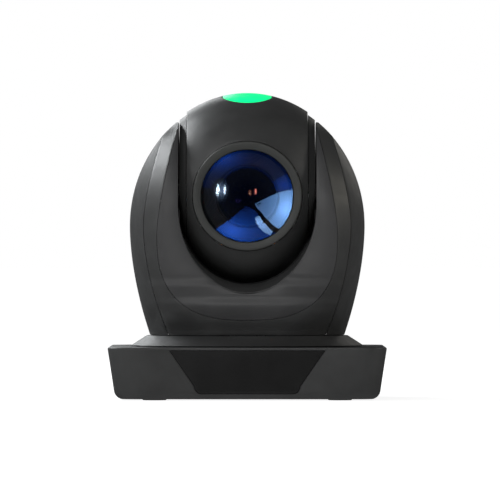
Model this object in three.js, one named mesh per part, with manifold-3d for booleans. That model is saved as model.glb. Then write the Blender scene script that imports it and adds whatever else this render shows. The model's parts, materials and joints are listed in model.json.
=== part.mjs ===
// A pan-tilt-zoom conference camera: a flared base, a fork that pans on it, and a
// camera head that tilts between the fork's two arms.
// Millimetres, +Z up. The front of the camera faces -Y, and the origin is on the
// ground under the pan axis.
import * as THREE from 'three';
import { mergeVertices } from 'three/addons/utils/BufferGeometryUtils.js';
import Module from 'manifold-3d';

const wasm = await Module();
wasm.setup();

// ---------------------------------------------------------------- driving sizes
// Clearances
const GAP = 0.3;                 // between two pieces that touch or run together
const SADDLE_CLEARANCE = 1.1;    // head to the hollow that it turns in
const CHEEK_CLEARANCE = 0.6;     // head's sides to the arms

// Base
const BASE_WIDTH = 150;
const BASE_DEPTH = 150;
const BASE_FLARE = 4;            // each wall leans out by this, bottom to top
const BASE_BOTTOM = 0.5;         // the feet hold the shell this far off the table
const BASE_TOP = 28.5;
const BASE_CORNER = 12;
const BASE_BOTTOM_ROUND = 4.3;
const BASE_RIM = 1.5;            // bright chamfer round the deck
const BASE_WALL = 2.5;
const PLATE_INSET = 8;           // bottom plate's edge to the shell's widest line
const PLATE_THICKNESS = 2;
const FOOT_RADIUS = 6.5;
const FOOT_INSET = 17;           // foot's centre to the plate's edge
const TRIPOD_RADIUS = 3.2;
const TRIPOD_BOSS = 9;

// Front window
const WINDOW_TOP_HALF = 42;
const WINDOW_BOTTOM_HALF = 28.5;
const WINDOW_TOP = 27;
const WINDOW_BOTTOM = 3.6;
const WINDOW_THICKNESS = 1.6;

// Ring that the fork turns over
const RING_FOOT_RADIUS = 63.2;
const RING_TOP_RADIUS = 54.9;
const RING_HEIGHT = 6;

// Fork
const FORK_HALF_WIDTH = 64;
const FORK_WIDEST = 94;          // height of the widest line
const FORK_TOP = 150.3;
const FORK_CROWN = 70.8;         // height of the half ellipse over the widest line
const FORK_FRONT = 53;
const FORK_REAR = 57;
const FORK_SKIN = 2.2;
const LOWER_TAPER = 157.3;       // height in which the sides would taper to nothing below
const SEAM_INSET = 7.9;          // side seam's widest line to the fork's widest line
const SEAM_DRAW = { low: 10.4, high: 12.5 };
const SEAM_SPAN = { low: 52, high: 55 };
const STEP_HEIGHTS = { upper: [61, 66], lower: [51, 56] };
const FRONT_LEAN = 2;            // both steps together
const FACET_BACK = 7.5;          // how far the facet falls back between panel and seam
const FACET_BACK_LOW = 7;        // and how much more it does at the bottom
const SHOULDER = 100;            // over this height the arms lean back
const SHOULDER_DROP = 56;
const PANEL_BOTTOM = 43;         // lower edge of the U panel
const PANEL_HALF_WIDTH = 48.8;
const PANEL_FULLNESS = 2.65;     // squareness of the U's lower corners
const PANEL_DRAW = 11.1;         // how far the panel's edge comes in at the top
const PANEL_SPAN = 56.6;
const FACET_FOOT = 50;           // under this height the facet's edge leaves the panel's
const FACET_CLOSE = 0.45;        // and draws in by this share at the bottom
const PANEL_BACK = -12;          // the U panel's arms end this far in front of the axis
const REAR_SILL = 84;            // lowest line of the opening at the back
const SADDLE_WALL = 2;
const SILL_RISE = 5.2;           // height of the hidden lip under the head

// Head
const TILT_AXIS = 110;
const HEAD_RADIUS = 51.8;
const HEAD_LIFT = 4.7;           // the head's middle is over the tilt axis by this
const HEAD_HALF_WIDTH = 36.8;
const HEAD_SKIN = 2.2;
const CROWN_HALF_WIDTH = 64;     // half ellipse that the top follows across the head
const CROWN_RISE = 72.5;
const BOWL_EDGE = 9.7;           // what is left of the underside at the head's sides
const COVER_SEAM = HEAD_HALF_WIDTH - 3.8; // side covers start here
const COVER_STEP = 1.5;          // and lie this much lower

// Lens
const BEZEL_RADIUS = Math.min(HEAD_RADIUS - 22.3, HEAD_HALF_WIDTH - 7.3);
const GLASS_RADIUS = BEZEL_RADIUS - 4.7;
const BEZEL_FRONT = HEAD_RADIUS - 2.2;
const BEZEL_DEPTH = 8;
const BARREL_RADIUS = GLASS_RADIUS - 1.4;
const BARREL_WALL = 2.4;
const BARREL_REAR = 12;
const GROUP_TRAVEL = 12;
const ROD_RADIUS = 1;

// Tally window on the crown
const TALLY_HALF_WIDTH = 13.4;
const TALLY_HALF_LENGTH = 16;
const TALLY_FORWARD = 9;

// Pan drive
const POST_RADIUS = 9.5;
const POST_BORE = 6;
const POST_TOP = 43.4;
const FLANGE_RADIUS = 21;
const PAN_RATIO = 4;             // motor turns for one turn of the fork
const TILT_RATIO = 3;
const PULLEY_HEIGHT = 4.6;
const MOTOR_PULLEY_RADIUS = 6;
const PAN_MOTOR_DISTANCE = 36.5;
const PAN_MOTOR_RADIUS = 13;
const FLOOR_THICKNESS = 2.4;
const FLOOR_BOTTOM = 36.2;
const FLOOR_RADIUS = 45;
const BELT_THICKNESS = 1.2;

// Tilt drive
const CHEEK_FRAME = 2.4;         // thickness of the upright plates
const SHAFT_RADIUS = 7;
const SHAFT_BORE = 4;
const BEARING_RADIUS = 11;
const TILT_MOTOR_HEIGHT = 70;
const TILT_MOTOR_RADIUS = 13;
const TILT_MOTOR_LENGTH = 8.3;

// Sockets at the back
const REAR_PANEL_Y = BASE_DEPTH / 2 - 8.6;
const REAR_PANEL_THICKNESS = 1.6;
const REAR_OPENING_HALF = BASE_WIDTH / 2 - 18;
const SOCKET_ROW = 57;           // half width that the row of sockets fills at full size
const REAR_OPENING_BOTTOM = 7;
const REAR_OPENING_TOP = 24;
const BOARD_BOTTOM = 6.4;
const BOARD_THICKNESS = 1.6;

// ------------------------------------------------------------------- finishes
const finish = (color, roughness, metalness = 0) =>
  new THREE.MeshStandardMaterial({ color, roughness, metalness });
const CHARCOAL = [0x34353a, 0.45];
const PANEL_GREY = [0x47474a, 0.4];
const SMOKED = [0x1c1c1d, 0.3];
const BLACK = [0x151516, 0.6];
const RUBBER = [0x1b1b1b, 0.9];
const BOARD_GREEN = [0x1c5b38, 0.5];
const STEEL = [0xb9bcc0, 0.35, 1];
const BRASS = [0xc9a765, 0.35, 1];
const NYLON = [0xe4e0d4, 0.5];
const GLASS = [0x0a1230, 0.05];
const TALLY_GREEN = [0x00ff96, 0.3];

// -------------------------------------------------------------------- helpers
function solid(geometry) {
  const bare = geometry.clone();
  bare.deleteAttribute('normal');
  bare.deleteAttribute('uv');
  const merged = mergeVertices(bare, 1e-4);
  return new wasm.Manifold(new wasm.Mesh({
    numProp: 3,
    vertProperties: Float32Array.from(merged.attributes.position.array),
    triVerts: Uint32Array.from(merged.index.array),
  }));
}

function geometryOf(body) {
  const { vertProperties, triVerts } = body.getMesh();
  const geometry = new THREE.BufferGeometry();
  geometry.setAttribute('position', new THREE.BufferAttribute(vertProperties, 3));
  geometry.setIndex(new THREE.BufferAttribute(triVerts, 1));
  return geometry;
}

function piece(name, body, look, place = [0, 0, 0]) {
  const mesh = new THREE.Mesh(geometryOf(body), finish(...look));
  mesh.name = name;
  mesh.position.set(...place);
  return mesh;
}

// A block between two corners.
function block(low, high) {
  const size = high.map((value, i) => value - low[i]);
  const middle = high.map((value, i) => (value + low[i]) / 2);
  return solid(new THREE.BoxGeometry(...size).translate(...middle));
}

// A turned piece. The profile is [radius, height] pairs; it closes on itself.
function turned(profile, segments = 20, axis = 'z') {
  const points = [...profile, profile[0]].map(([r, h]) => new THREE.Vector2(r, h));
  const geometry = new THREE.LatheGeometry(points, segments);
  if (axis === 'z') geometry.rotateX(Math.PI / 2);
  if (axis === 'x') geometry.rotateZ(-Math.PI / 2);
  return solid(geometry);
}

function tube(inner, outer, from, to, axis = 'z', segments = 20) {
  return turned([[inner, from], [outer, from], [outer, to], [inner, to]], segments, axis);
}

function rod(radius, from, to, axis = 'z', segments = 16) {
  const geometry = new THREE.CylinderGeometry(radius, radius, to - from, segments);
  geometry.translate(0, (from + to) / 2, 0);
  if (axis === 'z') geometry.rotateX(Math.PI / 2);
  if (axis === 'x') geometry.rotateZ(-Math.PI / 2);
  return solid(geometry);
}

// An outline in the front view, [x, z] pairs, drawn out from one depth to another.
function frontPrism(outline, from, to) {
  const shape = new THREE.Shape(outline.map(([x, z]) => new THREE.Vector2(x, z)));
  const geometry = new THREE.ExtrudeGeometry(shape, { depth: to - from, bevelEnabled: false });
  geometry.rotateX(Math.PI / 2);
  geometry.translate(0, to, 0);
  return solid(geometry);
}

// An outline on the ground, [x, y] pairs, drawn up.
function upPrism(outline, from, to) {
  const shape = new THREE.Shape(outline.map(([x, y]) => new THREE.Vector2(x, y)));
  const geometry = new THREE.ExtrudeGeometry(shape, { depth: to - from, bevelEnabled: false });
  geometry.translate(0, 0, from);
  return solid(geometry);
}

// A closed skin over rings of points, all of one count, with flat ends.
function skin(rings) {
  const count = rings[0].length;
  const last = rings.length - 1;
  const positions = rings.flat().flat();
  const middle = (ring) => ring.reduce((sum, p) => sum.map((v, i) => v + p[i] / count), [0, 0, 0]);
  positions.push(...middle(rings[0]), ...middle(rings[last]));
  const index = [];
  for (let i = 0; i < count; i += 1) {
    const next = (i + 1) % count;
    for (let k = 0; k < last; k += 1) {
      const [a, b] = [k * count + i, k * count + next];
      index.push(a, b, b + count, a, b + count, a + count);
    }
    index.push(rings.length * count, next, i);
    index.push(rings.length * count + 1, last * count + i, last * count + next);
  }
  const geometry = new THREE.BufferGeometry();
  geometry.setAttribute('position', new THREE.Float32BufferAttribute(positions, 3));
  geometry.setIndex(index);
  return solid(geometry);
}

// The main body of a cut, without the slivers that two near-parallel faces leave.
function mainBody(body) {
  return body.decompose().reduce((best, part) => (part.volume() > best.volume() ? part : best));
}

const range = (count, make) => Array.from({ length: count }, (_, i) => make(i));
const mirrorX = (body) => body.mirror([1, 0, 0]);
const clamp01 = (t) => Math.min(1, Math.max(0, t));
const ease = (z, from, to) => {
  const t = clamp01((z - from) / (to - from));
  return t * t * (3 - 2 * t);
};

// A rectangle with round corners, as [x, y] pairs.
function roundedRectangle(halfX, halfY, radius, steps = 4) {
  const centres = [[1, 1], [-1, 1], [-1, -1], [1, -1]];
  return centres.flatMap(([sx, sy], corner) => range(steps + 1, (i) => {
    const angle = (corner + i / steps) * Math.PI / 2;
    return [
      sx * (halfX - radius) + radius * Math.cos(angle),
      sy * (halfY - radius) + radius * Math.sin(angle),
    ];
  }));
}

// ----------------------------------------------------------------- base pieces
// The flared box, drawn in by inset on every side, from one height to another.
function baseForm(inset, bottom, top) {
  const leanAt = (z) => {
    const rise = (z - BASE_BOTTOM) / (BASE_TOP - BASE_RIM - BASE_BOTTOM);
    return Math.max(0, 1 - rise) * BASE_FLARE;
  };
  const levels = [];
  const round = BASE_BOTTOM_ROUND;
  const steps = 3;
  for (let i = 0; i <= steps; i += 1) {
    const angle = (i / steps) * Math.PI / 2;
    levels.push([bottom + round * (1 - Math.cos(angle)), round * (1 - Math.sin(angle))]);
  }
  levels.push([top - BASE_RIM, 0], [top, BASE_RIM * 0.5]);
  return skin(levels.map(([z, draw]) => {
    const shrink = leanAt(z) + draw + inset;
    return roundedRectangle(
      BASE_WIDTH / 2 - shrink,
      BASE_DEPTH / 2 - shrink,
      Math.max(BASE_CORNER - inset - draw, 2),
    ).map(([x, y]) => [x, y, z]);
  }));
}

// The trapezoid of the front window, grown or shrunk by margin.
function windowOutline(margin) {
  const [top, bottom] = [WINDOW_TOP + margin, WINDOW_BOTTOM - margin];
  const corner = 4;
  return [
    [WINDOW_TOP_HALF + margin, top],
    [-WINDOW_TOP_HALF - margin, top],
    [-WINDOW_BOTTOM_HALF - margin, bottom + corner],
    [-WINDOW_BOTTOM_HALF - margin + corner * 0.4, bottom + corner * 0.3],
    [-WINDOW_BOTTOM_HALF - margin + corner, bottom],
    [WINDOW_BOTTOM_HALF + margin - corner, bottom],
    [WINDOW_BOTTOM_HALF + margin - corner * 0.4, bottom + corner * 0.3],
    [WINDOW_BOTTOM_HALF + margin, bottom + corner],
  ];
}

const plateHalf = (size) => size / 2 - PLATE_INSET;

function makeBaseShell() {
  const hollow = baseForm(BASE_WALL, BASE_BOTTOM + BASE_WALL, BASE_TOP - BASE_WALL);
  const mouth = upPrism(
    roundedRectangle(plateHalf(BASE_WIDTH) + GAP, plateHalf(BASE_DEPTH) + GAP, BASE_CORNER - 4),
    -1,
    BASE_BOTTOM + BASE_WALL + 2,
  );
  const front = frontPrism(windowOutline(GAP / 2), -BASE_DEPTH, -BASE_DEPTH / 2 + BASE_FLARE + 3)
    .intersect(windowSlab(-1, WINDOW_THICKNESS + GAP));
  const sight = frontPrism(windowOutline(-3), -BASE_DEPTH, -BASE_DEPTH / 4);
  const back = block(
    [-REAR_OPENING_HALF, REAR_PANEL_Y, REAR_OPENING_BOTTOM],
    [REAR_OPENING_HALF, BASE_DEPTH, REAR_OPENING_TOP],
  );
  const postHole = rod(POST_RADIUS + GAP, 0, BASE_TOP + 1);
  return baseForm(0, BASE_BOTTOM, BASE_TOP)
    .subtract(hollow)
    .subtract(mouth)
    .subtract(front)
    .subtract(sight)
    .subtract(back)
    .subtract(postHole);
}

// The layer of the base's form between two depths under its surface.
function windowSlab(outer, inner) {
  return baseForm(outer, BASE_BOTTOM, BASE_TOP + 2)
    .subtract(baseForm(inner, BASE_BOTTOM, BASE_TOP + 2));
}

function makeFrontWindow() {
  return frontPrism(windowOutline(-GAP / 2), -BASE_DEPTH, -BASE_DEPTH / 4)
    .intersect(windowSlab(0, WINDOW_THICKNESS));
}

function makeBottomPlate() {
  const outline = roundedRectangle(plateHalf(BASE_WIDTH), plateHalf(BASE_DEPTH), BASE_CORNER - 4);
  const boss = rod(TRIPOD_BOSS, BASE_BOTTOM + GAP, BASE_BOTTOM + 5);
  let plate = upPrism(outline, BASE_BOTTOM + GAP, BASE_BOTTOM + GAP + PLATE_THICKNESS)
    .add(boss)
    .subtract(rod(TRIPOD_RADIUS + 1.6 + GAP, 0, BASE_BOTTOM + 6));
  for (const [x, y] of footPlaces()) {
    plate = plate.subtract(rod(2 + GAP, 0, BASE_TOP, 'z', 12).translate([x, y, 0]));
  }
  return plate;
}

function footPlaces() {
  const x = plateHalf(BASE_WIDTH) - FOOT_INSET;
  const y = plateHalf(BASE_DEPTH) - FOOT_INSET;
  return [[-x, -y], [x, -y], [-x, y], [x, y]];
}

// A pad with a plug that goes up through the plate.
function makeFoot() {
  const under = BASE_BOTTOM;
  return rod(FOOT_RADIUS, 0, under)
    .add(rod(2, under - 0.1, under + PLATE_THICKNESS + GAP, 'z', 12));
}

function makeTripodInsert() {
  return tube(TRIPOD_RADIUS, TRIPOD_RADIUS + 1.6, BASE_BOTTOM + GAP, BASE_BOTTOM + 5);
}

function makeRing() {
  const wall = 2.4;
  const top = BASE_TOP + RING_HEIGHT;
  const round = 0.8;
  return turned([
    [RING_FOOT_RADIUS - wall * 1.6, BASE_TOP + GAP],
    [RING_FOOT_RADIUS, BASE_TOP + GAP],
    [RING_TOP_RADIUS + round * 0.6, top - round],
    [RING_TOP_RADIUS - round * 0.4, top],
    [RING_TOP_RADIUS - wall, top],
    [RING_TOP_RADIUS - wall, top - wall],
  ], 48);
}

function makePanPost() {
  const under = BASE_TOP - BASE_WALL;
  const flange = tube(POST_BORE, FLANGE_RADIUS, under - GAP - 2.2, under - GAP);
  const post = tube(POST_BORE, POST_RADIUS, under - GAP - 1, POST_TOP);
  return flange.add(post);
}

const pulleyBottom = BASE_TOP + GAP;
const panPulleyRadius = MOTOR_PULLEY_RADIUS * PAN_RATIO;

function makePanPulley() {
  return tube(POST_RADIUS + GAP, panPulleyRadius, pulleyBottom, pulleyBottom + PULLEY_HEIGHT, 'z', 36);
}

// A belt round two pulleys that lie a distance apart along -Y, before it is placed.
function makeBelt(bigRadius, smallRadius, distance, height) {
  const outline = (grow) => {
    const [big, small] = [bigRadius + grow, smallRadius + grow];
    const lean = Math.asin((bigRadius - smallRadius) / distance);
    const arc = (radius, y, from, to, steps) => range(steps + 1, (i) => {
      const angle = from + (to - from) * (i / steps);
      return [radius * Math.cos(angle), y + radius * Math.sin(angle)];
    });
    return [
      ...arc(big, 0, -lean, Math.PI + lean, 22),
      ...arc(small, -distance, Math.PI + lean, 2 * Math.PI - lean, 8),
    ];
  };
  return upPrism(outline(GAP + BELT_THICKNESS), 0, height)
    .subtract(upPrism(outline(GAP), -1, height + 1));
}

function makeRearPanel() {
  const half = REAR_OPENING_HALF + 2;
  let panel = block(
    [-half, REAR_PANEL_Y - REAR_PANEL_THICKNESS - GAP, REAR_OPENING_BOTTOM - 1.2],
    [half, REAR_PANEL_Y - GAP, REAR_OPENING_TOP + 1],
  );
  for (const socket of sockets) {
    const { round, half: size } = socket;
    const hole = round
      ? rod(round + GAP, -10, 10, 'y')
      : block([-size[0] - GAP, -10, -size[1] - GAP], [size[0] + GAP, 10, size[1] + GAP]);
    panel = panel.subtract(hole.scale(rowScale).translate(socketPlace(socket)));
  }
  const slot = block([-3.4, -9, -3], [3.4, 9, 3]);
  return panel.subtract(slot.scale([rowScale, 1, rowScale]).translate([switchX, REAR_PANEL_Y, switchHeight]));
}

const boardTop = BOARD_BOTTOM + BOARD_THICKNESS;

// On a narrower base the whole row of sockets and switches shrinks to fit.
const rowScale = Math.min(1, REAR_OPENING_HALF / SOCKET_ROW);
const socketPlace = ({ x, half, round }) =>
  [x * rowScale, REAR_PANEL_Y, boardTop + GAP + (round ?? half[1]) * rowScale];

// Sockets from left to right, seen from behind. Rectangular ones give their half
// sizes, round ones their radius; hollow is the opening that the plug goes into.
const sockets = [
  { name: 'power_jack', x: 47, round: 4.4, hollow: 2.9, depth: 11, pin: 1 },
  { name: 'audio_jack', x: 36, round: 3.9, hollow: 2.2, depth: 11 },
  { name: 'serial_socket', x: 24, round: 5.8, hollow: 4.6, depth: 12, core: 3.2 },
  { name: 'network_socket', x: 7, half: [8, 6.6], hollow: [6, 4.4], depth: 15 },
  { name: 'usb_socket', x: -10, half: [6, 5.4], hollow: [4.3, 4], depth: 13, tongue: [2.6, 1.2] },
  { name: 'video_socket', x: -25, half: [7.5, 3.2], hollow: [7, 2.7], depth: 11, tongue: [5.6, 0.5] },
  { name: 'coax_socket', x: -40, round: 5, hollow: 3.6, depth: 13, pin: 0.9 },
];

function makeSocket({ half, round, hollow, depth, pin, core, tongue }) {
  const inside = -depth;
  const lip = 1.2;
  if (round) {
    let body = rod(round, inside, lip, 'y').subtract(rod(hollow, inside + 3, lip + 1, 'y'));
    const centre = pin ?? core;
    if (centre) body = body.add(rod(centre, inside + 1, -1.5, 'y', 16));
    return body;
  }
  let body = block([-half[0], inside, -half[1]], [half[0], lip, half[1]])
    .subtract(block([-hollow[0], inside + 3, -hollow[1]], [hollow[0], lip + 1, hollow[1]]));
  if (tongue) {
    body = body.add(block([-tongue[0], inside + 2, -tongue[1]], [tongue[0], -1.5, tongue[1]]));
  }
  return body;
}

// A two-way switch block that stands behind the rear panel, with its levers.
const switchX = -52.4 * rowScale;
const switchPitch = 4 * rowScale;
const switchHeight = boardTop + GAP + 5 * rowScale;
const switchPlane = REAR_PANEL_Y - REAR_PANEL_THICKNESS - 2 * GAP;

function makeSwitchBody() {
  let body = block([-4, -6, -5], [4, 0, 5]);
  for (const side of [-1, 1]) {
    const x = side * 2;
    body = body.subtract(block([x - 1.1, -3, -2.7], [x + 1.1, 1, 2.7]));
  }
  return body.scale([rowScale, 1, rowScale]);
}

function makeSwitchLever() {
  return block([-0.8, -2.7, -2.4], [0.8, REAR_PANEL_THICKNESS + 1.2, -2.4 + 2.7])
    .scale([rowScale, 1, rowScale]);
}

function makeMainBoard() {
  const [halfX, halfY] = [plateHalf(BASE_WIDTH) - 9, plateHalf(BASE_DEPTH) - 17];
  let board = block([-halfX, -halfY, BOARD_BOTTOM], [halfX, REAR_PANEL_Y - 3, boardTop]);
  const chip = (x, y, half, height) =>
    block([x - half, y - half, boardTop - 0.2], [x + half, y + half, boardTop + height]);
  board = board
    .add(chip(0, -10, 12, 1.6))
    .add(chip(-32, -14, 7, 1.4))
    .add(chip(30, -20, 9, 2.4))
    .add(chip(-30, 18, 6, 4));
  return board;
}

function makeReceiverBoard() {
  const y = -BASE_DEPTH / 2 + BASE_FLARE + BASE_WALL + 1.4;
  const board = block([-22, y + 3, 10], [22, y + 4.4, 23]);
  const eye = rod(2.5, y, y + 3.2, 'y', 16);
  return board.add(eye.translate([-12, 0, 17])).add(eye.translate([12, 0, 17]));
}

// ----------------------------------------------------------------- fork pieces
const forkBottom = BASE_TOP + RING_HEIGHT + GAP;

// Outline values of the fork at a height.
const halfWidthAt = (z) => (z < FORK_WIDEST
  ? FORK_HALF_WIDTH * (1 - ((FORK_WIDEST - z) / LOWER_TAPER) ** 1.8)
  : FORK_HALF_WIDTH * Math.sqrt(1 - ((z - FORK_WIDEST) / FORK_CROWN) ** 2));

// Line between the side covers and the middle shells.
const seamAt = (z) => {
  const widest = FORK_HALF_WIDTH - SEAM_INSET;
  const turn = FORK_WIDEST + 1;
  return z < turn
    ? widest - SEAM_DRAW.low * ((turn - z) / SEAM_SPAN.low) ** 1.86
    : widest - SEAM_DRAW.high * ((z - turn) / SEAM_SPAN.high) ** 1.5;
};

// Outer edge of the U panel.
const panelEdgeAt = (z) => {
  const turn = FORK_WIDEST - 4;
  const height = turn - PANEL_BOTTOM;
  if (z <= PANEL_BOTTOM) return 0;
  return z < turn
    ? PANEL_HALF_WIDTH * (1 - ((turn - z) / height) ** PANEL_FULLNESS) ** (1 / PANEL_FULLNESS)
    : PANEL_HALF_WIDTH - PANEL_DRAW * ((z - turn) / PANEL_SPAN) ** 1.4;
};

// Where the side facet of the front and back starts.
const facetEdgeAt = (z) =>
  panelEdgeAt(Math.max(z, FACET_FOOT)) * (1 - FACET_CLOSE * (1 - ease(z, forkBottom, FACET_FOOT)));

// How far the front and back stand from the pan axis.
function depthAt(z, depth) {
  const upper = depth - FRONT_LEAN;
  if (z > SHOULDER) return upper * Math.sqrt(1 - ((z - SHOULDER) / SHOULDER_DROP) ** 2);
  const upperStep = 1 - ease(z, ...STEP_HEIGHTS.upper);
  const lowerStep = 1 - ease(z, ...STEP_HEIGHTS.lower);
  const roll = 3 * (1 - ease(z, PANEL_BOTTOM - 5, 51)) + 2 * (1 - ease(z, forkBottom, PANEL_BOTTOM));
  return upper + upperStep + lowerStep - roll;
}

// One level of the fork's outer form, as a closed loop, drawn in by inset.
function forkLevel(z, inset) {
  const wide = halfWidthAt(z) - inset;
  const seam = Math.min(seamAt(z) - inset * 0.7, wide - 0.4);
  const edge = Math.min(facetEdgeAt(z) - inset * 0.3, seam - 0.5);
  const back = FACET_BACK + FACET_BACK_LOW * (1 - ease(z, forkBottom, 60));
  const power = 2 - ease(z, PANEL_BOTTOM, 62);
  const quarter = (depth) => {
    const facet = range(4, (i) => {
      const t = i / 3;
      return [edge + (seam - edge) * t, depth - back * t ** power];
    });
    const corner = depth - back;
    const side = range(5, (i) => {
      const y = corner * (1 - (i + 1) / 5);
      return [wide - (wide - seam) * (y / corner) ** 2.2, y];
    });
    return [...facet, ...side];
  };
  const front = quarter(depthAt(z, FORK_FRONT) - inset).map(([x, y]) => [x, -y]);
  const rear = quarter(depthAt(z, FORK_REAR) - inset).slice(0, -1).reverse();
  const right = [...front, ...rear];
  const left = right.map(([x, y]) => [-x, y]).reverse();
  return [...right, ...left].map(([x, y]) => [x, y, z]);
}

function forkForm(inset, bottom, top) {
  const front = [38.5, 43.2, 45.5, 48.5, 51, 56, 61, 66, 74, 84, 93];
  const crown = [100, 109, 118, 126, 133, 139, 143.5, 147];
  const inside = [38.5, 43.2, 45.5, 51, 56, 61, 66, 84, 100, 118, 133, 143.5];
  const marks = (inset ? inside : [...front, ...crown]);
  const stops = [bottom, ...marks.filter((z) => z > bottom + 1 && z < top - 0.5), top];
  return skin(stops.map((z) => forkLevel(z, inset)));
}

// The U that the head sits in, seen from the front, grown by margin.
function openingOutline(margin, sill = TILT_AXIS - HEAD_RADIUS - SADDLE_CLEARANCE) {
  const half = HEAD_HALF_WIDTH + CHEEK_CLEARANCE + margin;
  const springing = TILT_AXIS - 5;
  const drop = springing - sill + margin;
  const steps = 20;
  const bowl = range(steps + 1, (i) => {
    const angle = Math.PI + (i / steps) * Math.PI;
    return [half * Math.cos(angle), springing + drop * Math.sin(angle)];
  });
  return [[half, FORK_TOP + 20], [-half, FORK_TOP + 20], ...bowl];
}

// The hollow under the head, grown by margin: a drum with an open front. The sill of the
// opening rises behind the front edge, as far as the tilting head allows, and sinks again.
function saddleHollow(margin) {
  const half = HEAD_HALF_WIDTH + CHEEK_CLEARANCE + margin;
  const radius = HEAD_RADIUS + SADDLE_CLEARANCE + margin;
  const drum = rod(radius, -half, half, 'x', 36).translate([0, HEAD_LIFT, TILT_AXIS]);
  const low = TILT_AXIS - HEAD_RADIUS - SADDLE_CLEARANCE;
  const sills = [
    [HEAD_LIFT, 0],
    [0, 0],
    [-30, 1],
    [-36, 3],
    [-39.5, SILL_RISE],
    [-42, SILL_RISE],
    [FRONT_LEAN - FORK_FRONT, 0],
    [-BASE_DEPTH, 0],
  ];
  const rings = sills.map(([y, rise]) => openingOutline(margin, low + rise).map(([x, z]) => [x, y, z]));
  return drum.add(skin(rings));
}

const rearOpening = () => frontPrism(openingOutline(0, REAR_SILL), 0, BASE_DEPTH);

function makeSaddle() {
  const half = HEAD_HALF_WIDTH + CHEEK_CLEARANCE;
  const overhead = block([-half, -BASE_DEPTH, TILT_AXIS], [half, BASE_DEPTH, FORK_TOP + 20]);
  const hub = rod(BEARING_RADIUS - 1, -FORK_HALF_WIDTH, FORK_HALF_WIDTH, 'x').translate([0, 0, TILT_AXIS]);
  return saddleHollow(SADDLE_WALL)
    .subtract(saddleHollow(0))
    .subtract(rearOpening())
    .subtract(overhead)
    .subtract(hub)
    .intersect(forkForm(FORK_SKIN + GAP, forkBottom, FORK_TOP - FORK_SKIN - GAP));
}

// The fork's hollow outer skin, open below.
function forkSkin() {
  return forkForm(0, forkBottom, FORK_TOP)
    .subtract(forkForm(FORK_SKIN, forkBottom - 5, FORK_TOP - FORK_SKIN))
    .subtract(frontPrism(openingOutline(0), -BASE_DEPTH, 0.1))
    .subtract(rearOpening());
}

function outlineOf(edgeAt, from, to, margin, steps = 18) {
  const right = range(steps + 1, (i) => {
    const z = from + (to - from) * (i / steps);
    return [Math.max(edgeAt(z) + margin, 0.4), z];
  });
  return [...right, ...right.map(([x, z]) => [-x, z]).reverse()];
}

const seamPrism = (margin) =>
  frontPrism(outlineOf(seamAt, forkBottom - 1, FORK_TOP + 1, margin), -BASE_DEPTH, BASE_DEPTH);

function panelOutline(margin) {
  const top = FORK_TOP - 2;
  const turn = FORK_WIDEST - 4;
  const bottom = PANEL_BOTTOM - margin;
  const low = range(10, (i) => {
    const angle = (i / 10) * Math.PI / 2;
    const power = 2 / PANEL_FULLNESS;
    const [across, down] = [Math.sin(angle) ** power, Math.cos(angle) ** power];
    return [(PANEL_HALF_WIDTH + margin) * across, turn - (turn - bottom) * down];
  });
  const high = range(7, (i) => {
    const z = turn + (top - turn) * (i / 6);
    return [panelEdgeAt(z) + margin, z];
  });
  const right = [...low, ...high];
  return [...right, ...right.slice(1).map(([x, z]) => [-x, z]).reverse()];
}

function makePanel(whole) {
  return whole.intersect(frontPrism(panelOutline(-GAP / 2), -BASE_DEPTH, PANEL_BACK));
}

function makeFrontShell(whole) {
  return mainBody(whole
    .intersect(seamPrism(-GAP / 2))
    .intersect(block([-BASE_WIDTH, -BASE_DEPTH, 0], [BASE_WIDTH, -GAP / 2, FORK_TOP + 9]))
    .subtract(frontPrism(panelOutline(GAP / 2), -BASE_DEPTH, PANEL_BACK)));
}

function makeRearShell(whole) {
  return mainBody(whole
    .intersect(seamPrism(-GAP / 2))
    .intersect(block([-BASE_WIDTH, GAP / 2, 0], [BASE_WIDTH, BASE_DEPTH, FORK_TOP + 9])));
}

function makeSideCover(whole) {
  return whole
    .subtract(seamPrism(GAP / 2))
    .intersect(block([0, -BASE_DEPTH, 0], [BASE_WIDTH, BASE_DEPTH, FORK_TOP + 9]));
}

const cheekInside = HEAD_HALF_WIDTH + CHEEK_CLEARANCE + SADDLE_WALL + 2 * GAP;
const cheekOutside = cheekInside + CHEEK_FRAME;
const floorTop = FLOOR_BOTTOM + FLOOR_THICKNESS;

// A floor plate with two upright plates, bent from one sheet.
function makeForkFrame() {
  const upright = () => {
    const head = rod(19, cheekInside, cheekOutside, 'x', 28).translate([0, 0, TILT_AXIS]);
    const leg = block([cheekInside, -19, FLOOR_BOTTOM], [cheekOutside, 19, TILT_AXIS]);
    return head.add(leg)
      .subtract(rod(BEARING_RADIUS + GAP, 0, BASE_WIDTH, 'x').translate([0, 0, TILT_AXIS]));
  };
  const posts = [-1, 1].map((side) =>
    rod(2, cheekOutside - 0.5, motorFace() - GAP, 'x', 12).translate([0, side * 17.2, TILT_MOTOR_HEIGHT]));
  let frame = rod(FLOOR_RADIUS, FLOOR_BOTTOM, floorTop, 'z', 40)
    .subtract(rod(bearingOuter + GAP, 0, TILT_AXIS, 'z', 32))
    .subtract(rod(4, 0, TILT_AXIS, 'z', 24).translate([0, PAN_MOTOR_DISTANCE, 0]))
    .add(upright())
    .add(mirrorX(upright()));
  for (const post of posts) frame = frame.add(mirrorX(post));
  return frame;
}

const bearingOuter = POST_RADIUS + 6.5;

const makePanBearing = () =>
  tube(POST_RADIUS + GAP, bearingOuter, FLOOR_BOTTOM - GAP, floorTop + GAP);

const makePanNut = () =>
  tube(POST_RADIUS + GAP, POST_RADIUS + 5, floorTop + 3 * GAP, POST_TOP - GAP);

const motorPulleyBottom = pulleyBottom;

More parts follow.
